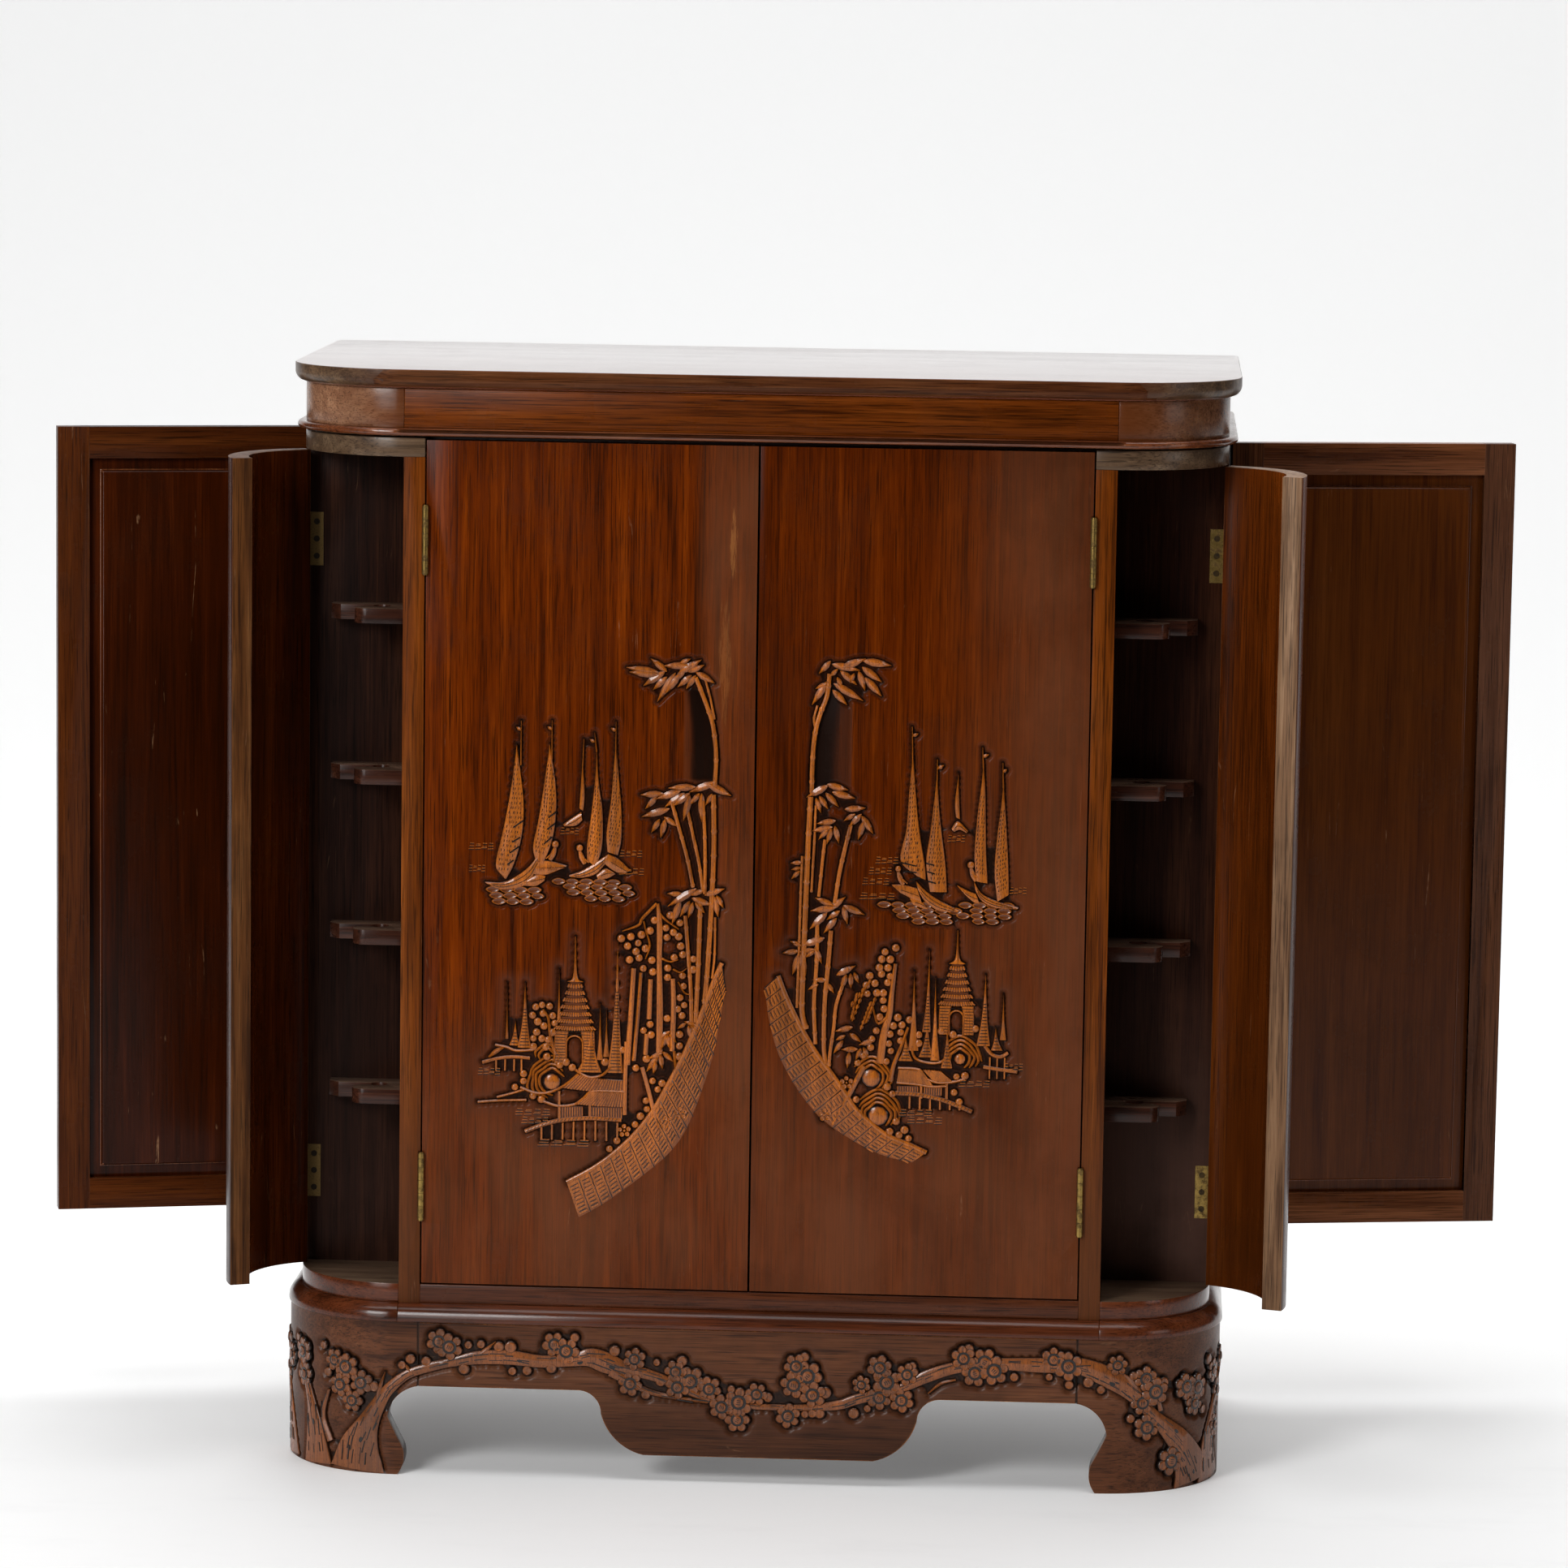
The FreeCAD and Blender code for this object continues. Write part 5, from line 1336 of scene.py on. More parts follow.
def rock(relief, u, w, radius, rings, open_way=90.0):
    """A scholar's stone: lumpy rings that part at one side, round a smooth boss."""
    relief.knob(u, w, radius, 0.6)
    for i in range(rings):
        reach = radius + 3.6 * (i + 1)
        span = math.radians(250 - 40 * i)
        angles = np.linspace(math.radians(open_way) - span / 2, math.radians(open_way) + span / 2, 9)
        line = [(u + reach * math.cos(a) * (1 + 0.07 * math.sin(5 * a + i)),
                 w + reach * math.sin(a) * (1 + 0.09 * math.cos(4 * a))) for a in angles]
        relief.limb(line, [1.4] + [2.8] * 7 + [1.4], 0.1 - 0.3 * i, 0.6, 3)


def flower(relief, u, w, reach=4.2, petals=5):
    for i in range(petals):
        a = 2 * math.pi * i / petals + 0.4
        relief.stamp("petal", u + reach * math.cos(a), w + reach * math.sin(a), a, 2.5, 2.5, 0.5)
    relief.knob(u, w, 1.3, 0.9)


def fence(relief, rail, foot, panels):
    """A woven fence round the shore: a rail, and laths between slanted stakes. Its outer edge fades away."""
    upper, lower = curve(rail, 5), curve(foot, 5)
    relief.ribbon(upper, lower, 0.1, 0.35, sinks=False)
    for i in range(len(relief.shades) - RIBBON_POINTS * len(lower), len(relief.shades), RIBBON_POINTS):
        relief.shades[i + 4:i + RIBBON_POINTS] = [0.55, 0.45, 0.4]
    relief.limb(rail, [4.6] * len(rail), 0.7, 0.4, 5)
    pitch = np.linalg.norm(at(upper, 0.52) - at(upper, 0.48)) / 0.04 / panels
    # Stakes and lath lines are dark bars of painted shade; the glints on the laths are painted highlight.
    for i in range(panels):
        a, b = at(upper, i / panels), at(lower, i / panels)
        relief.bar(a, b, 1.0, 0.62, "cut")
        along = at(upper, (i + 1) / panels) - a
        lath = along / max(np.linalg.norm(along), 1e-6) * pitch * 0.34
        c, d = at(upper, (i + 0.5) / panels), at(lower, (i + 0.5) / panels)
        reach = np.linalg.norm(d - c)
        for w in np.arange(5.5, reach * 0.9, 3.6):
            mid = c + (d - c) * w / reach
            relief.bar(mid - lath, mid + lath, 0.8, 0.66, "cut")
            mid = c + (d - c) * (w + 1.8) / reach
            relief.bar(mid - lath, mid + lath, 1.7, 0.8, "glint")


# Left door

def left_door(relief):
    each(relief, Relief.leaf,
         (-84, 771, -99, 783), (-62, 777, -88, 776), (-92, 770, -121, 775), (-92, 768, -118, 771),
         (-86, 771, -106, 758), (-84, 766, -97, 754), (-76, 770, -93, 743), (-72, 769, -85, 749),
         (-61, 768, -74, 757), (-57, 768, -66, 755), (-73, 770, -52, 782), (-64, 771, -49, 778),
         (-57, 771, -38, 761), (-67, 774, -77, 762), (-72, 779, -62, 783), (-56, 663, -82, 661),
         (-37, 668, -62, 658), (-45, 666, -23, 655), (-86, 656, -108, 654), (-70, 659, -92, 652),
         (-92, 653, -103, 641), (-80, 642, -106, 634), (-89, 632, -97, 619), (-84, 632, -88, 614),
         (-85, 634, -71, 625), (-66, 657, -85, 642), (-61, 657, -77, 644), (-61, 655, -66, 629),
         (-50, 657, -49, 629), (-52, 657, -61, 646), (-40, 657, -46, 645), (-54, 567, -81, 549),
         (-66, 561, -81, 562), (-60, 561, -45, 566), (-58, 558, -39, 551), (-46, 561, -27, 568),
         (-69, 555, -77, 534), (-60, 555, -69, 539), (-57, 554, -61, 538), (-55, 554, -46, 544),
         (-37, 560, -34, 541), (-35, 561, -28, 549), (-52, 437, -63, 441), (-62, 439, -70, 433),
         (-77, 431, -89, 422), (-78, 428, -70, 420), (-80, 428, -85, 412), (-84, 410, -98, 403),
         (-84, 411, -74, 402), (-90, 402, -92, 389), (-80, 428, -77, 414), (-86, 409, -83, 394),
         (-88, 407, -99, 393), (-60, 437, -57, 423), (-58, 437, -50, 430))
    each(relief, Relief.stalk,
         (LEFT_STEM, 4.2),
         ([(-48, 764), (-43, 746), (-39, 727)], 2.2),
         ([(-78, 648), (-71, 624), (-63, 596), (-57, 568)], 3.6),
         ([(-63, 640), (-58, 618), (-52, 592), (-48, 566)], 3.2),
         ([(-49, 650), (-47, 622), (-46, 592), (-46, 562)], 3.4),
         ([(-39, 656), (-38, 610), (-39, 566), (-42, 500), (-45, 458)], 4.8),
         ([(-64, 541), (-61, 506), (-58, 470), (-57, 438)], 3.8),
         ([(-50, 553), (-51, 500), (-52, 470), (-53, 440)], 4.6),
         ([(-36, 540), (-36, 505), (-38, 482)], 2.2))
    each(relief, Relief.knob,
         (-93, 536), (-82, 529), (-97, 526), (-105, 522), (-115, 520), (-124, 518), (-118, 511),
         (-108, 514), (-101, 509), (-110, 506), (-116, 498), (-107, 500), (-103, 490), (-95, 498),
         (-94, 487), (-81, 520), (-75, 525), (-70, 521), (-69, 534), (-68, 512), (-74, 501), (-66, 504),
         (-80, 491), (-80, 482), (-66, 484), (-65, 474), (-68, 463), (-64, 456), (-70, 452), (-66, 446),
         (-102, 431), (-96, 437), (-95, 427), (-80, 443), (-68, 428), (-68, 417), (-68, 407), (-122, 412),
         (-56, 500), (-56, 490), (-78, 541), (-109, 395), (-99, 404), (-93, 383), (-84, 381), (-88, 375),
         (-99, 364), (-98, 356), (-104, 349), (-109, 341), (-126, 325), (-133, 317), (-138, 400))
    each(relief, Relief.limb,
         ([(-90, 552), (-88, 530), (-88, 500), (-87, 455), (-87, 410)], (3, 5.5, 5, 6, 6)),
         ([(-91, 552), (-104, 538), (-108, 531), (-123, 525)], (3, 3, 2.6, 1.2)),
         ([(-103, 535), (-101, 526), (-97, 512), (-101, 499)], (2, 1.6, 2.2, 1.2)),
         ([(-86, 500), (-78, 497), (-70, 499)], (2.4, 1.8, 1.2)),
         ([(-112, 490), (-114, 450), (-117, 398)], (4.5, 5, 5.5)),
         ([(-105, 486), (-108, 440), (-111, 402)], (3.2, 3.6, 4)),
         ([(-96, 480), (-97, 442)], (4.4, 4.8)),
         ([(-75, 481), (-74, 452), (-75, 412)], (4.4, 5, 5)),
         ([(-70, 478), (-64, 468), (-58, 466)], (1.6, 1.8, 1.2)),
         ([(-103, 396), (-97, 375), (-91, 352), (-87, 338)], (4.2, 4.2, 4.2, 3.4)),
         ([(-118, 420), (-119, 380), (-119, 350)], (4.2, 4.2, 4.2)),
         ([(-90, 545), (-83, 537), (-70, 528)], (2.4, 2.2, 1.4)),
         ([(-99, 428), (-100, 408)], (4.4, 4.4)),
         ([(-73, 412), (-71, 392)], (3, 2.6)),
         ([(-75, 490), (-68, 487), (-62, 491)], (2, 1.8, 1)))
    left_boats(relief)
    left_shore(relief)


def left_boats(relief):
    each(relief, sail,
         ([(-236, 574), (-243, 586), (-236, 620), (-229, 660), (-224, 700)],
          [(-233, 572), (-226, 586), (-219, 612), (-217, 645), (-224, 700)],
          [((-217, 628), (-227, 621)), ((-220, 612), (-228, 607)), ((-221, 603), (-230, 597)),
           ((-226, 590), (-232, 586))]),
         ([(-206, 592), (-208, 604), (-203, 630), (-198, 664), (-193, 701)],
          [(-198, 588), (-191, 606), (-187, 630), (-187, 660), (-193, 701)],
          [((-186, 637), (-194, 631)), ((-187, 626), (-195, 620)), ((-190, 613), (-198, 606))]),
         ([(-157, 591), (-157, 608), (-153, 640), (-150, 672), (-149, 702)],
          [(-148, 586), (-143, 606), (-143, 638), (-147, 668), (-149, 702)]),
         ([(-138, 600), (-139, 618), (-135, 650), (-133, 678), (-131, 706)],
          [(-128, 597), (-125, 612), (-125, 640), (-128, 672), (-131, 706)]),
         ([(-165, 641), (-164, 655), (-162, 690)], [(-161, 638), (-160, 655), (-162, 690)]))
    each(relief, mast,
         ((-220, 680), (-220, 722), -5), ((-191, 686), (-191, 723), -5), ((-149, 694), (-151, 712), -5),
         ((-131, 696), (-131, 723), -5), ((-162, 680), (-161, 706), 0))
    each(relief, hull,
         ([(-253, 569), (-236, 569), (-222, 576), (-211, 585), (-203, 596)],
          [(-251, 567), (-238, 562), (-222, 564), (-211, 570), (-204, 584)], 2),
         ([(-204, 590), (-192, 590), (-176, 586)], [(-207, 577), (-195, 577), (-178, 584)]),
         ([(-214, 572), (-204, 577), (-196, 576)], [(-216, 566), (-205, 566), (-197, 571)]),
         ([(-174, 577), (-163, 581), (-150, 589), (-137, 598)],
          [(-172, 575), (-160, 575), (-148, 579), (-140, 588)], 2),
         ([(-137, 598), (-127, 593), (-116, 583)], [(-140, 588), (-130, 581), (-121, 580)]),
         ([(-148, 578), (-140, 584), (-132, 581)], [(-146, 573), (-137, 575), (-130, 579)]),
         ([(-180, 625), (-172, 631), (-163, 637)], [(-178, 623), (-168, 624), (-162, 629)]))
    for i in range(7):
        relief.bar((-201 + 2.4 * i, 581), (-199 + 2.4 * i, 585), 0.9, 1.7)
    for i in range(5):
        relief.bar((-132 + 2 * i, 589 - i), (-131 + 2 * i, 592 - i), 0.9, 1.7)
    each(relief, boatman, (-187, 606, -1), (-164, 603, 1))
    waves(relief, [(-252, -192, 562), (-255, -190, 556.5), (-246, -196, 551)])
    waves(relief, [(-190, -122, 571), (-186, -104, 566.5), (-176, -112, 561), (-166, -118, 555.5)])
    ripples(relief, [(-268, -244, 602), (-268, -252, 581), (-126, -104, 598), (-126, -102, 581),
                     (-182, -164, 618)])


def left_shore(relief):
    pagoda(relief, -167, 398, 429, 7, 8, 21, 519)
    each(relief, spire,
         ((-214, 474), (-221, 412), (-208, 412), True), ((-223, 438), (-229, 414), (-219, 414), True),
         ((-151, 434), (-165, 390), (-141, 390), True), ((-127, 516), (-136, 390), (-121, 390), True),
         ((-143, 456), (-146, 402), (-140, 402), False), ((-137, 450), (-140, 405), (-134, 405), False),
         ((-231, 474), (-232.5, 420), (-229.5, 420), False), ((-182, 488), (-184, 440), (-180, 440), False))
    each(relief, Relief.knob,
         (-204, 451), (-198, 453), (-191, 452), (-207, 443), (-197, 445), (-188, 443), (-202, 437),
         (-186, 436), (-196, 433), (-203, 427), (-188, 427), (-206, 421), (-198, 421), (-192, 420),
         (-206, 413), (-194, 413), (-175, 399), (-169, 394), (-181, 396), (-215, 387), (-215, 380),
         (-223, 374), (-206, 366), (-198, 363))
    relief.limb([(-197, 449), (-192, 440), (-190, 424), (-185, 406)], (2, 2.6, 3, 4))
    each(relief, rock, (-188, 380, 8.5, 4, 150.0), (-193, 404, 4.0, 2, 80.0))
    eave_line(relief, [(-242, 414), (-231, 412), (-222, 409), (-206, 410)])
    relief.limb([(-248, 402), (-241, 408), (-234, 412)], (2, 4.5, 2))
    eave_line(relief, [(-254, 397), (-240, 401), (-224, 403), (-209, 402)], 3.2)
    for u in (-241, -232.5, -224, -217):
        relief.bar((u, 401), (u, 389), 2.0, 0.0)
    eave_line(relief, [(-166, 392), (-158, 387), (-150, 385), (-140, 388), (-132, 396)])
    roof(relief, [(-163, 388), (-140, 384), (-119, 383)], [(-178, 374), (-140, 370), (-119, 370)], 20)
    eave_line(relief, [(-218, 374), (-204, 369), (-190, 370), (-176, 377), (-163, 388)])
    roof(relief, [(-150, 372), (-134, 372), (-119, 372)], [(-168, 359), (-142, 357), (-119, 357)], 18)
    eave_line(relief, [(-196, 361), (-182, 357), (-166, 359), (-157, 366), (-149, 372), (-119, 372)])
    eave_line(relief, [(-258, 359), (-236, 361), (-212, 362)], 2.4)
    eave_line(relief, [(-240, 364), (-226, 368), (-214, 372)], 2.4)
    each(relief, wall, (-181, -158, 345, 357, 10), (-152, -121, 345, 357, 13))
    for u in (-181, -152):
        relief.bar((u, 372), (u, 344), 3.0, 0.2)
    bridge(relief, [(-213, 332), (-196, 339), (-176, 344), (-150, 346), (-122, 345)], 8, 324)
    ripples(relief, [(-222, -188, 350), (-216, -190, 342), (-200, -150, 321), (-258, -236, 388)])
    fence(relief,
          [(-29, 497), (-37, 478), (-47, 450), (-57, 425), (-66, 404), (-80, 377), (-92, 355), (-110, 331),
           (-131, 311), (-150, 297), (-173, 284)],
          [(-25, 470), (-30, 440), (-36, 408), (-43, 384), (-51, 360), (-63, 332), (-78, 312), (-97, 295),
           (-117, 279), (-139, 263), (-161, 250)],
          22)
    each(relief, flower, (-66, 353), (-80, 344), (-119, 335))


# Right door

def right_door(relief):
    each(relief, Relief.leaf,
         (69, 784, 58, 772), (70, 781, 97, 776), (79, 778, 101, 786), (99, 785, 124, 780),
         (98, 779, 116, 765), (101, 769, 116, 752), (95, 775, 101, 757), (91, 773, 87, 763),
         (78, 775, 93, 762), (75, 769, 80, 759), (72, 763, 99, 747), (71, 757, 85, 743), (66, 765, 52, 741),
         (66, 763, 55, 758), (69, 770, 76, 777), (68, 667, 48, 655), (67, 668, 87, 663), (72, 661, 93, 655),
         (66, 660, 79, 647), (60, 657, 68, 645), (57, 655, 62, 641), (76, 634, 58, 631), (73, 628, 54, 624),
         (69, 626, 60, 616), (72, 627, 68, 611), (75, 629, 80, 612), (84, 645, 104, 647),
         (94, 641, 83, 633), (100, 639, 112, 622), (102, 634, 97, 616), (100, 641, 88, 627),
         (45, 594, 34, 593), (44, 589, 35, 587), (43, 586, 35, 578), (75, 554, 58, 561), (77, 552, 53, 548),
         (71, 550, 86, 561), (84, 554, 105, 546), (84, 553, 89, 536), (69, 547, 53, 532),
         (81, 549, 69, 541), (78, 542, 66, 527), (67, 523, 45, 516), (46, 515, 34, 519), (43, 510, 28, 508),
         (58, 512, 42, 508), (58, 514, 66, 498), (58, 511, 49, 503), (44, 508, 37, 488), (45, 508, 51, 486),
         (70, 483, 56, 483), (62, 479, 52, 473), (70, 480, 76, 471), (79, 488, 96, 496), (88, 489, 83, 475),
         (92, 490, 93, 475), (95, 491, 101, 480), (95, 439, 78, 434), (92, 433, 103, 425),
         (88, 431, 79, 426), (86, 426, 77, 413), (100, 418, 85, 418), (115, 427, 100, 421),
         (103, 419, 98, 408), (105, 420, 110, 409), (92, 415, 90, 400))
    each(relief, Relief.stalk,
         (RIGHT_STEM, 4.4),
         ([(57, 742), (54, 730), (55, 722)], 2.2),
         ([(52, 656), (50, 600), (49, 560), (48, 520), (47, 480), (47, 452), (51, 436)], 5.2),
         ([(45, 600), (44, 560), (43, 500), (42, 456)], 2.6),
         ([(57, 648), (56, 610), (54, 566)], 2.4),
         ([(66, 616), (64, 596), (61, 562)], 3.2),
         ([(90, 630), (84, 604), (80, 584), (76, 556)], 4.0),
         ([(60, 536), (60, 500), (58, 460), (60, 422)], 4.0),
         ([(73, 530), (71, 500), (68, 460), (68, 420), (70, 402)], 4.4),
         ([(86, 482), (79, 460), (77, 438), (74, 415), (73, 401)], 3.4))
    each(relief, Relief.knob,
         (134, 515), (124, 511), (121, 504), (129, 504), (119, 496), (127, 496), (121, 490), (129, 488),
         (110, 488), (107, 479), (115, 481), (127, 482), (108, 471), (117, 472), (123, 472), (123, 465),
         (124, 457), (120, 449), (117, 436), (137, 449), (148, 447), (133, 441), (141, 442), (130, 433),
         (140, 435), (129, 424), (140, 427), (131, 417), (113, 428), (112, 420), (127, 407), (157, 433),
         (157, 425), (178, 437), (189, 434), (210, 440), (128, 383), (133, 376), (99, 370), (102, 357),
         (131, 340), (140, 337), (145, 342), (149, 334), (137, 350), (100, 405), (105, 412), (193, 394),
         (201, 395), (191, 379), (196, 370))
    each(relief, Relief.limb,
         ([(134, 500), (131, 472), (129, 452), (124, 432), (121, 405)], (3.4, 4.6, 6, 7, 7.5)),
         ([(128, 450), (119, 443), (115, 452), (113, 462)], (3.4, 2.6, 2, 1.4)),
         ([(147, 440), (140, 420), (134, 404), (131, 388)], (2.6, 3.4, 4, 4.4)),
         ([(106, 402), (98, 386), (88, 366), (77, 345)], (5, 5, 5, 4.2)))
    for start, end in (((111, 483), (95, 462)), ((106, 476), (96, 448)), ((112, 462), (104, 440)),
                       ((116, 466), (109, 446)), ((99, 470), (95, 450))):
        for i in range(6):
            u, w = np.array(start) + (np.array(end) - np.array(start)) * i / 5
            relief.leaf(u, w + 2, u - 2, w - 4)
    right_boats(relief)
    right_shore(relief)


def right_boats(relief):
    each(relief, sail,
         ([(152, 584), (137, 598), (142, 628), (144, 662), (147, 702)],
          [(161, 580), (160, 594), (155, 622), (151, 655), (147, 702)],
          [((138, 596), (152, 593)), ((140, 588), (153, 587)), ((146, 580), (156, 582))]),
         ([(165, 569), (161, 596), (164, 622), (167, 650), (170, 682)],
          [(181, 569), (179, 596), (175, 625), (172, 652), (170, 682)],
          [((161, 596), (169, 594)), ((162, 588), (170, 586)), ((163, 579), (171, 577))]),
         ([(208, 580), (206, 606), (208, 640), (211, 668), (213, 692)],
          [(219, 578), (217, 606), (216, 640), (215, 668), (213, 692)]),
         ([(228, 561), (225, 590), (227, 624), (230, 650), (232, 674)],
          [(239, 568), (238, 594), (236, 625), (234, 650), (232, 674)]),
         ([(188, 640), (187, 655), (190, 682)], [(192, 638), (191, 655), (190, 682)]))
    each(relief, mast,
         ((147, 690), (146, 724), 6), ((170, 674), (170, 694), 6), ((213, 686), (212, 706), 6),
         ((232, 668), (231, 692), 4))
    each(relief, hull,
         ([(152, 579), (162, 569), (176, 560), (193, 552)],
          [(154, 570), (161, 559), (174, 551), (191, 550)], 2),
         ([(129, 575), (140, 575), (153, 572)], [(138, 567), (148, 562), (158, 557)]),
         ([(146, 563), (154, 562), (160, 557)], [(150, 556), (158, 553), (164, 552)]),
         ([(206, 580), (213, 569), (226, 562), (248, 556)],
          [(208, 570), (214, 561), (227, 555), (247, 554)], 2),
         ([(190, 576), (200, 571), (208, 568)], [(199, 566), (206, 560), (212, 558)]),
         ([(184, 629), (190, 636), (200, 627)], [(187, 626), (192, 628), (198, 625)]))
    each(relief, boatman, (135, 590, 1), (203, 595, 1))
    waves(relief, [(116, 168, 556), (124, 200, 551), (134, 196, 546), (142, 192, 541)])
    waves(relief, [(192, 246, 557), (196, 250, 552), (190, 246, 547), (198, 236, 542)])
    ripples(relief, [(114, 136, 597), (108, 130, 587), (102, 128, 577), (100, 134, 563), (181, 198, 619),
                     (240, 256, 571)])


def right_shore(relief):
    pagoda(relief, 192, 434, 461, 6, 8, 18, 533)
    each(relief, spire,
         ((152, 494), (147, 418), (157, 418), False), ((166, 514), (160, 436), (168, 436), True),
         ((172, 488), (168, 409), (177, 409), False), ((165, 446), (157, 412), (171, 412), True),
         ((184, 442), (178, 402), (189, 402), True), ((219, 492), (211, 424), (224, 424), True),
         ((236, 474), (233, 430), (239, 430), False), ((229, 442), (225, 420), (236, 420), True),
         ((145, 432), (138, 408), (152, 408), True))
    each(relief, rock, (113, 391, 7.8, 3, 60.0), (120, 355, 8.6, 4, 70.0), (196, 411, 5.6, 4, 60.0))
    eave_line(relief, [(150, 421), (154, 411), (164, 407), (176, 407), (184, 412)])
    each(relief, roof,
         ([(139, 400), (150, 400), (160, 400)], [(137, 387), (156, 386), (172, 384)], 20),
         ([(161, 400), (170, 400), (178, 399)], [(172, 389), (182, 388), (190, 389)], 10))
    eave_line(relief, [(137, 387), (154, 386), (170, 384), (184, 385)])
    eave_line(relief, [(138, 401), (158, 400), (164, 392), (176, 388), (190, 389), (201, 392)])
    each(relief, wall, (137, 158, 376, 384, 9), (162, 180, 375, 384, 8))
    for u in (184, 160):
        relief.bar((u, 392), (u, 372), 3.0, 0.2)
    bridge(relief, [(136, 377), (158, 376), (182, 371), (208, 361)], 7, 362)
    eave_line(relief, [(219, 424), (226, 416), (234, 414), (241, 418)], 3.4)
    eave_line(relief, [(218, 404), (232, 402), (250, 400)], 3.4)
    for u in (224, 231, 238):
        relief.bar((u, 414), (u, 392), 1.8, -0.2)
    ripples(relief, [(140, 172, 358), (196, 226, 387), (238, 256, 404), (148, 182, 351)])
    fence(relief,
          [(24, 486), (32, 466), (45, 440), (60, 415), (75, 395), (88, 377), (98, 362), (112, 349),
           (130, 336), (150, 328), (166, 321)],
          [(11, 474), (15, 446), (23, 416), (35, 391), (49, 370), (63, 354), (79, 341), (95, 331),
           (112, 322), (131, 315), (152, 311)],
          20)
    each(relief, flower, (90, 386), (70, 355))


# Plum branches on the base. u runs along its front, round the corners and back along the sides.

def garland(relief):
    each(relief, bark,
         ([(-372, 1), (-369, 24), (-360, 48), (-347, 72), (-338, 84), (-322, 97), (-300, 105), (-280, 110),
           (-255, 115), (-225, 116), (-195, 113), (-165, 115), (-148, 118), (-132, 113), (-115, 108),
           (-92, 103), (-66, 94), (-40, 83), (-15, 77), (10, 75), (50, 75), (85, 78), (106, 85), (126, 90),
           (148, 97), (172, 109), (200, 118), (235, 122), (275, 122), (300, 122), (316, 122), (340, 113),
           (360, 102), (376, 85), (390, 71), (405, 58), (420, 43), (434, 20), (440, 1)],
          [58, 42, 22, 13, 11, 9, 9, 9, 13, 14, 12, 12, 18, 20, 14, 10, 9, 8, 6, 6, 6, 9, 10, 9, 9, 12, 11,
           11, 14, 14, 16, 20, 19, 12, 13, 19, 28, 44, 58]),
         ([(-128, 106), (-108, 94), (-90, 86), (-62, 81), (-36, 78)], [12, 7, 5, 4, 3]),
         ([(-420, 1), (-424, 32), (-430, 58), (-440, 82), (-452, 104)], [40, 26, 14, 9, 5]),
         ([(-476, 1), (-480, 36), (-490, 66), (-508, 96)], [46, 26, 12, 6]),
         ([(470, 1), (466, 34), (474, 62), (490, 92), (508, 112)], [48, 28, 15, 9, 5]),
         ([(-402, 26), (-412, 50), (-404, 76)], [8, 6, 3]))
    for points, widths in (
            ([(-350, 72), (-348, 84), (-343, 99)], (5, 4, 0.8)),
            ([(-252, 119), (-246, 124), (-238, 131)], (5, 4, 0.8)),
            ([(172, 92), (184, 102), (198, 106)], (1.4, 3, 2)),
            ([(-318, 98), (-324, 106), (-330, 108)], (4, 3, 1)),
            ([(395, 78), (392, 88), (386, 96)], (5, 4, 2))):
        relief.limb(points, widths, 0.6, 0.6)
    blossoms = ((-396, 106, 11), (-383, 101, 13), (-389, 83, 12), (-367, 87, 12), (-376, 69, 11),
                (-443, 107, 13), (-441, 85, 12), (-292, 130, 12), (-282, 125, 13), (-182, 130, 12),
                (-171, 124, 13), (-106, 118, 11), (-110, 94, 12), (-67, 107, 11), (-65, 92, 12),
                (-53, 98, 14), (-35, 91, 12), (-23, 74, 12), (10, 87, 11), (-8, 62, 12), (-7, 79, 14),
                (47, 115, 12), (45, 97, 13), (63, 88, 13), (58, 106, 14), (40, 67, 12), (126, 116, 12),
                (126, 87, 12), (133, 102, 14), (152, 110, 11), (147, 85, 12), (109, 99, 9), (205, 127, 12),
                (225, 124, 13), (216, 113, 13), (234, 116, 14), (290, 128, 12), (304, 122, 14),
                (350, 124, 10), (378, 110, 12), (375, 87, 12), (388, 97, 14), (380, 63, 13), (407, 28, 14),
                (424, 98, 13), (437, 80, 12), (441, 95, 14), (-474, 98, 12), (-492, 84, 13),
                (-506, 108, 12), (472, 106, 12), (488, 84, 13), (502, 114, 11), (478, 52, 12))
    for i, (u, w, radius) in enumerate(blossoms):
        relief.stamp("blossom", u, w, 0.7 * i, radius, radius, 0.9 + 0.35 * (i % 3))
    buds = ((-264, 127), (-252, 128), (-235, 126), (-224, 126), (-222, 103), (-208, 104), (-304, 110),
            (-319, 112), (-327, 106), (-163, 137), (-185, 107), (-125, 125), (-85, 115), (-95, 84),
            (-61, 117), (-81, 97), (-14, 91), (21, 84), (55, 124), (75, 90), (56, 69), (63, 70), (70, 70),
            (102, 71), (115, 76), (157, 118), (210, 136), (244, 122), (286, 111), (253, 110), (305, 104),
            (323, 107), (335, 100), (364, 72), (398, 105), (-354, 84), (-411, 118), (-456, 118), (452, 72),
            (463, 118), (-484, 112), (366, 113), (-268, 104), (-405, 93))
    for i, (u, w) in enumerate(buds):
        radius = 4.0 + 0.5 * (i % 4)
        relief.stamp("petal", u, w, 0.3 * i, radius, radius, 0.6)


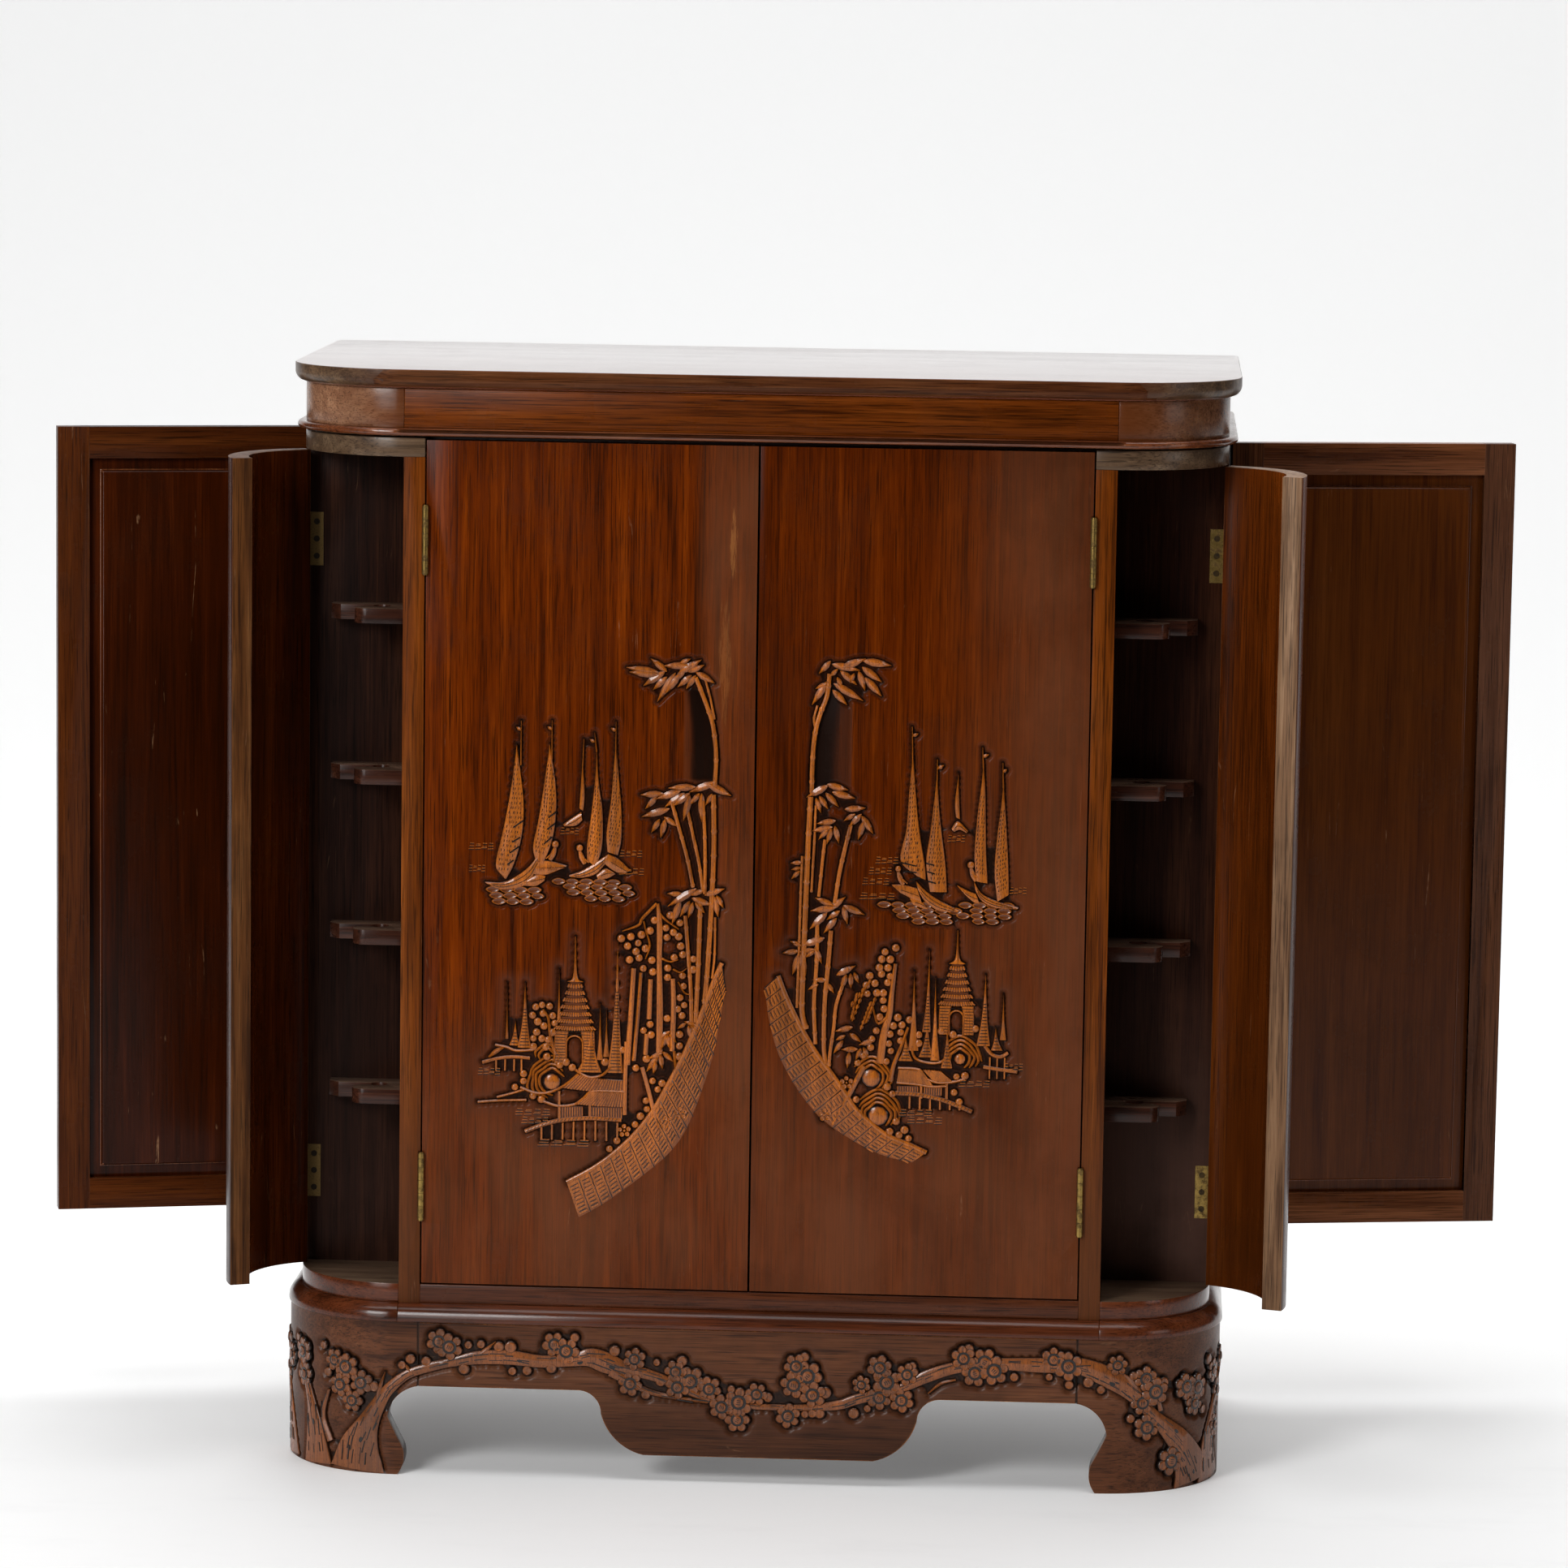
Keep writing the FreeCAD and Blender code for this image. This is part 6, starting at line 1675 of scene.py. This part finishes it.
def bark(relief, points, widths):
    """A branch with gouged bark: a crowned limb, long cuts along it in painted shade, and a few knots."""
    relief.limb(points, widths, 0.4, 1.2, 5)
    line = curve([(*p, w) for p, w in zip(points, widths)], 6)
    chance = np.random.default_rng(SEED + len(points))
    for i in range(2, len(line) - 4, 3):
        u, w, wide = line[i]
        run = np.array(line[i + 2][:2]) - np.array(line[i][:2])
        run = run / max(np.linalg.norm(run), 1e-6)
        normal = np.array([-run[1], run[0]])
        if wide > 12 and i % 4 == 0 and w > 10:
            off = chance.uniform(-0.25, 0.25) * wide
            spot = np.array([u, w]) + normal * off
            lift = 0.5 + 1.2 * (1 - abs(off) / (wide / 2))
            relief.stamp("knot", *spot, math.atan2(run[1], run[0]), 3.0, 1.9, lift)
        for _ in range(1 + int(wide / 9)):
            off = chance.uniform(-0.32, 0.32) * wide
            start = np.array([u, w]) + normal * off + run * chance.uniform(-2, 2)
            reach = chance.uniform(8, 20)
            lift = 0.55 + 1.2 * (1 - abs(off) / (wide / 2))
            if start[1] > 6 and (start + run * reach)[1] > 4:
                wide_cut = chance.uniform(0.7, 1.5)
                relief.bar(start, start + run * reach + normal * chance.uniform(-0.8, 0.8), wide_cut, lift,
                           "cut")


# Studio

def studio():
    floor_size = 11.0
    front_y, back_y = -2.6, 6.5
    wall_head = 12.0
    radius = 3.0
    steps = 24
    profile = [(front_y, 0.0)]
    for i in range(steps + 1):
        a = math.pi / 2 * i / steps
        profile.append((back_y - radius + radius * math.sin(a), radius - radius * math.cos(a)))
    profile.append((back_y, wall_head))
    count = len(profile)
    verts = [(x, y, z) for x in (-floor_size / 2, floor_size / 2) for y, z in profile]
    faces = [(i, count + i, count + i + 1, i + 1) for i in range(count - 1)]
    mesh = bpy.data.meshes.new("studio_floor")
    mesh.from_pydata(verts, [], faces)
    mesh.polygons.foreach_set("use_smooth", [True] * len(mesh.polygons))
    floor = new_piece("studio_floor", mesh)
    material, tree, surface, place = new_material("pale_floor")
    marks = ramp(tree, noise(tree, stretched(tree, place, (1, 2.4, 1)), 3.5, 6, 0.7), 0.5, 0.75)
    axis = axes(tree, place)
    near = ramp(tree, axis["Y"], 0.6, 2.4, 0.25, 0.0)
    colour = mixed(tree, times(tree, marks, near), linear(238, 238, 238), linear(220, 220, 221))
    # The floor and wall glow more towards the back: painted light, which also lightens the shadow under the
    # cabinet.
    glow = ramp(tree, axis["Y"], -1.2, 1.8, 0.0, 0.42)
    fed(tree, surface, {"Base Color": colour, "Emission Color": mixed(tree, glow, (0, 0, 0, 1), (1, 1, 1, 1)),
                        "Emission Strength": 1.0, "Roughness": 0.6})
    behind = tree.nodes.new("ShaderNodeNewGeometry").outputs["Backfacing"]
    clear = tree.nodes.new("ShaderNodeBsdfTransparent").outputs[0]
    one_way = shader(tree, "ShaderNodeMixShader", {0: behind, 1: surface.outputs[0], 2: clear}).outputs[0]
    tree.links.new(one_way, tree.nodes["Material Output"].inputs["Surface"])
    mesh.materials.append(material)


def area_light(name, place, aim, size, power):
    data = bpy.data.lights.new(name, "AREA")
    data.shape = "RECTANGLE"
    data.size, data.size_y = size
    data.energy = power
    lamp = new_piece(name, data)
    lamp.location = place
    lamp.rotation_euler = (Vector(aim) - Vector(place)).to_track_quat("-Z", "Y").to_euler()


def lights():
    area_light("key_softbox", (-2.6, -4.2, 3.0), (0, 0, 0.6), (1.6, 1.6), 150)
    area_light("fill_softbox", (-3.0, -5.8, 1.5), (0, 0, 0.5), (2.0, 2.0), 52)
    area_light("right_softbox", (4.2, -2.4, 1.3), (0.4, 0, 0.4), (1.6, 1.6), 14)
    area_light("overhead_softbox", (0.0, 0.2, 4.4), (0, 0, 0.5), (5.0, 4.0), 215)
    world = bpy.data.worlds.new("studio_air")
    world.use_nodes = True
    tree = world.node_tree
    seen = tree.nodes.new("ShaderNodeLightPath").outputs["Is Camera Ray"]
    strength = ramp(tree, seen, 0.0, 1.0, 0.03, 1.0)
    fed(tree, tree.nodes["Background"], {"Color": (1, 1, 1, 1), "Strength": strength})
    bpy.context.scene.world = world


def camera():
    """The photograph's viewpoint, fitted to the cabinet's own edges."""
    data = bpy.data.cameras.new("photo_camera")
    data.sensor_width = 36.0
    data.lens = 150.46
    data.shift_x = 0.0078
    data.shift_y = 0.0514
    data.clip_end = 100.0
    view = new_piece("photo_camera", data)
    view.location = (0.3586, -6.2755, 1.4482)
    view.rotation_euler = [math.radians(a) for a in (81.971, -0.817, 3.343)]
    bpy.context.scene.camera = view
    bpy.context.scene.view_settings.view_transform = "Standard"


timber_pieces()
carvings()
hardware()
studio()
lights()
camera()
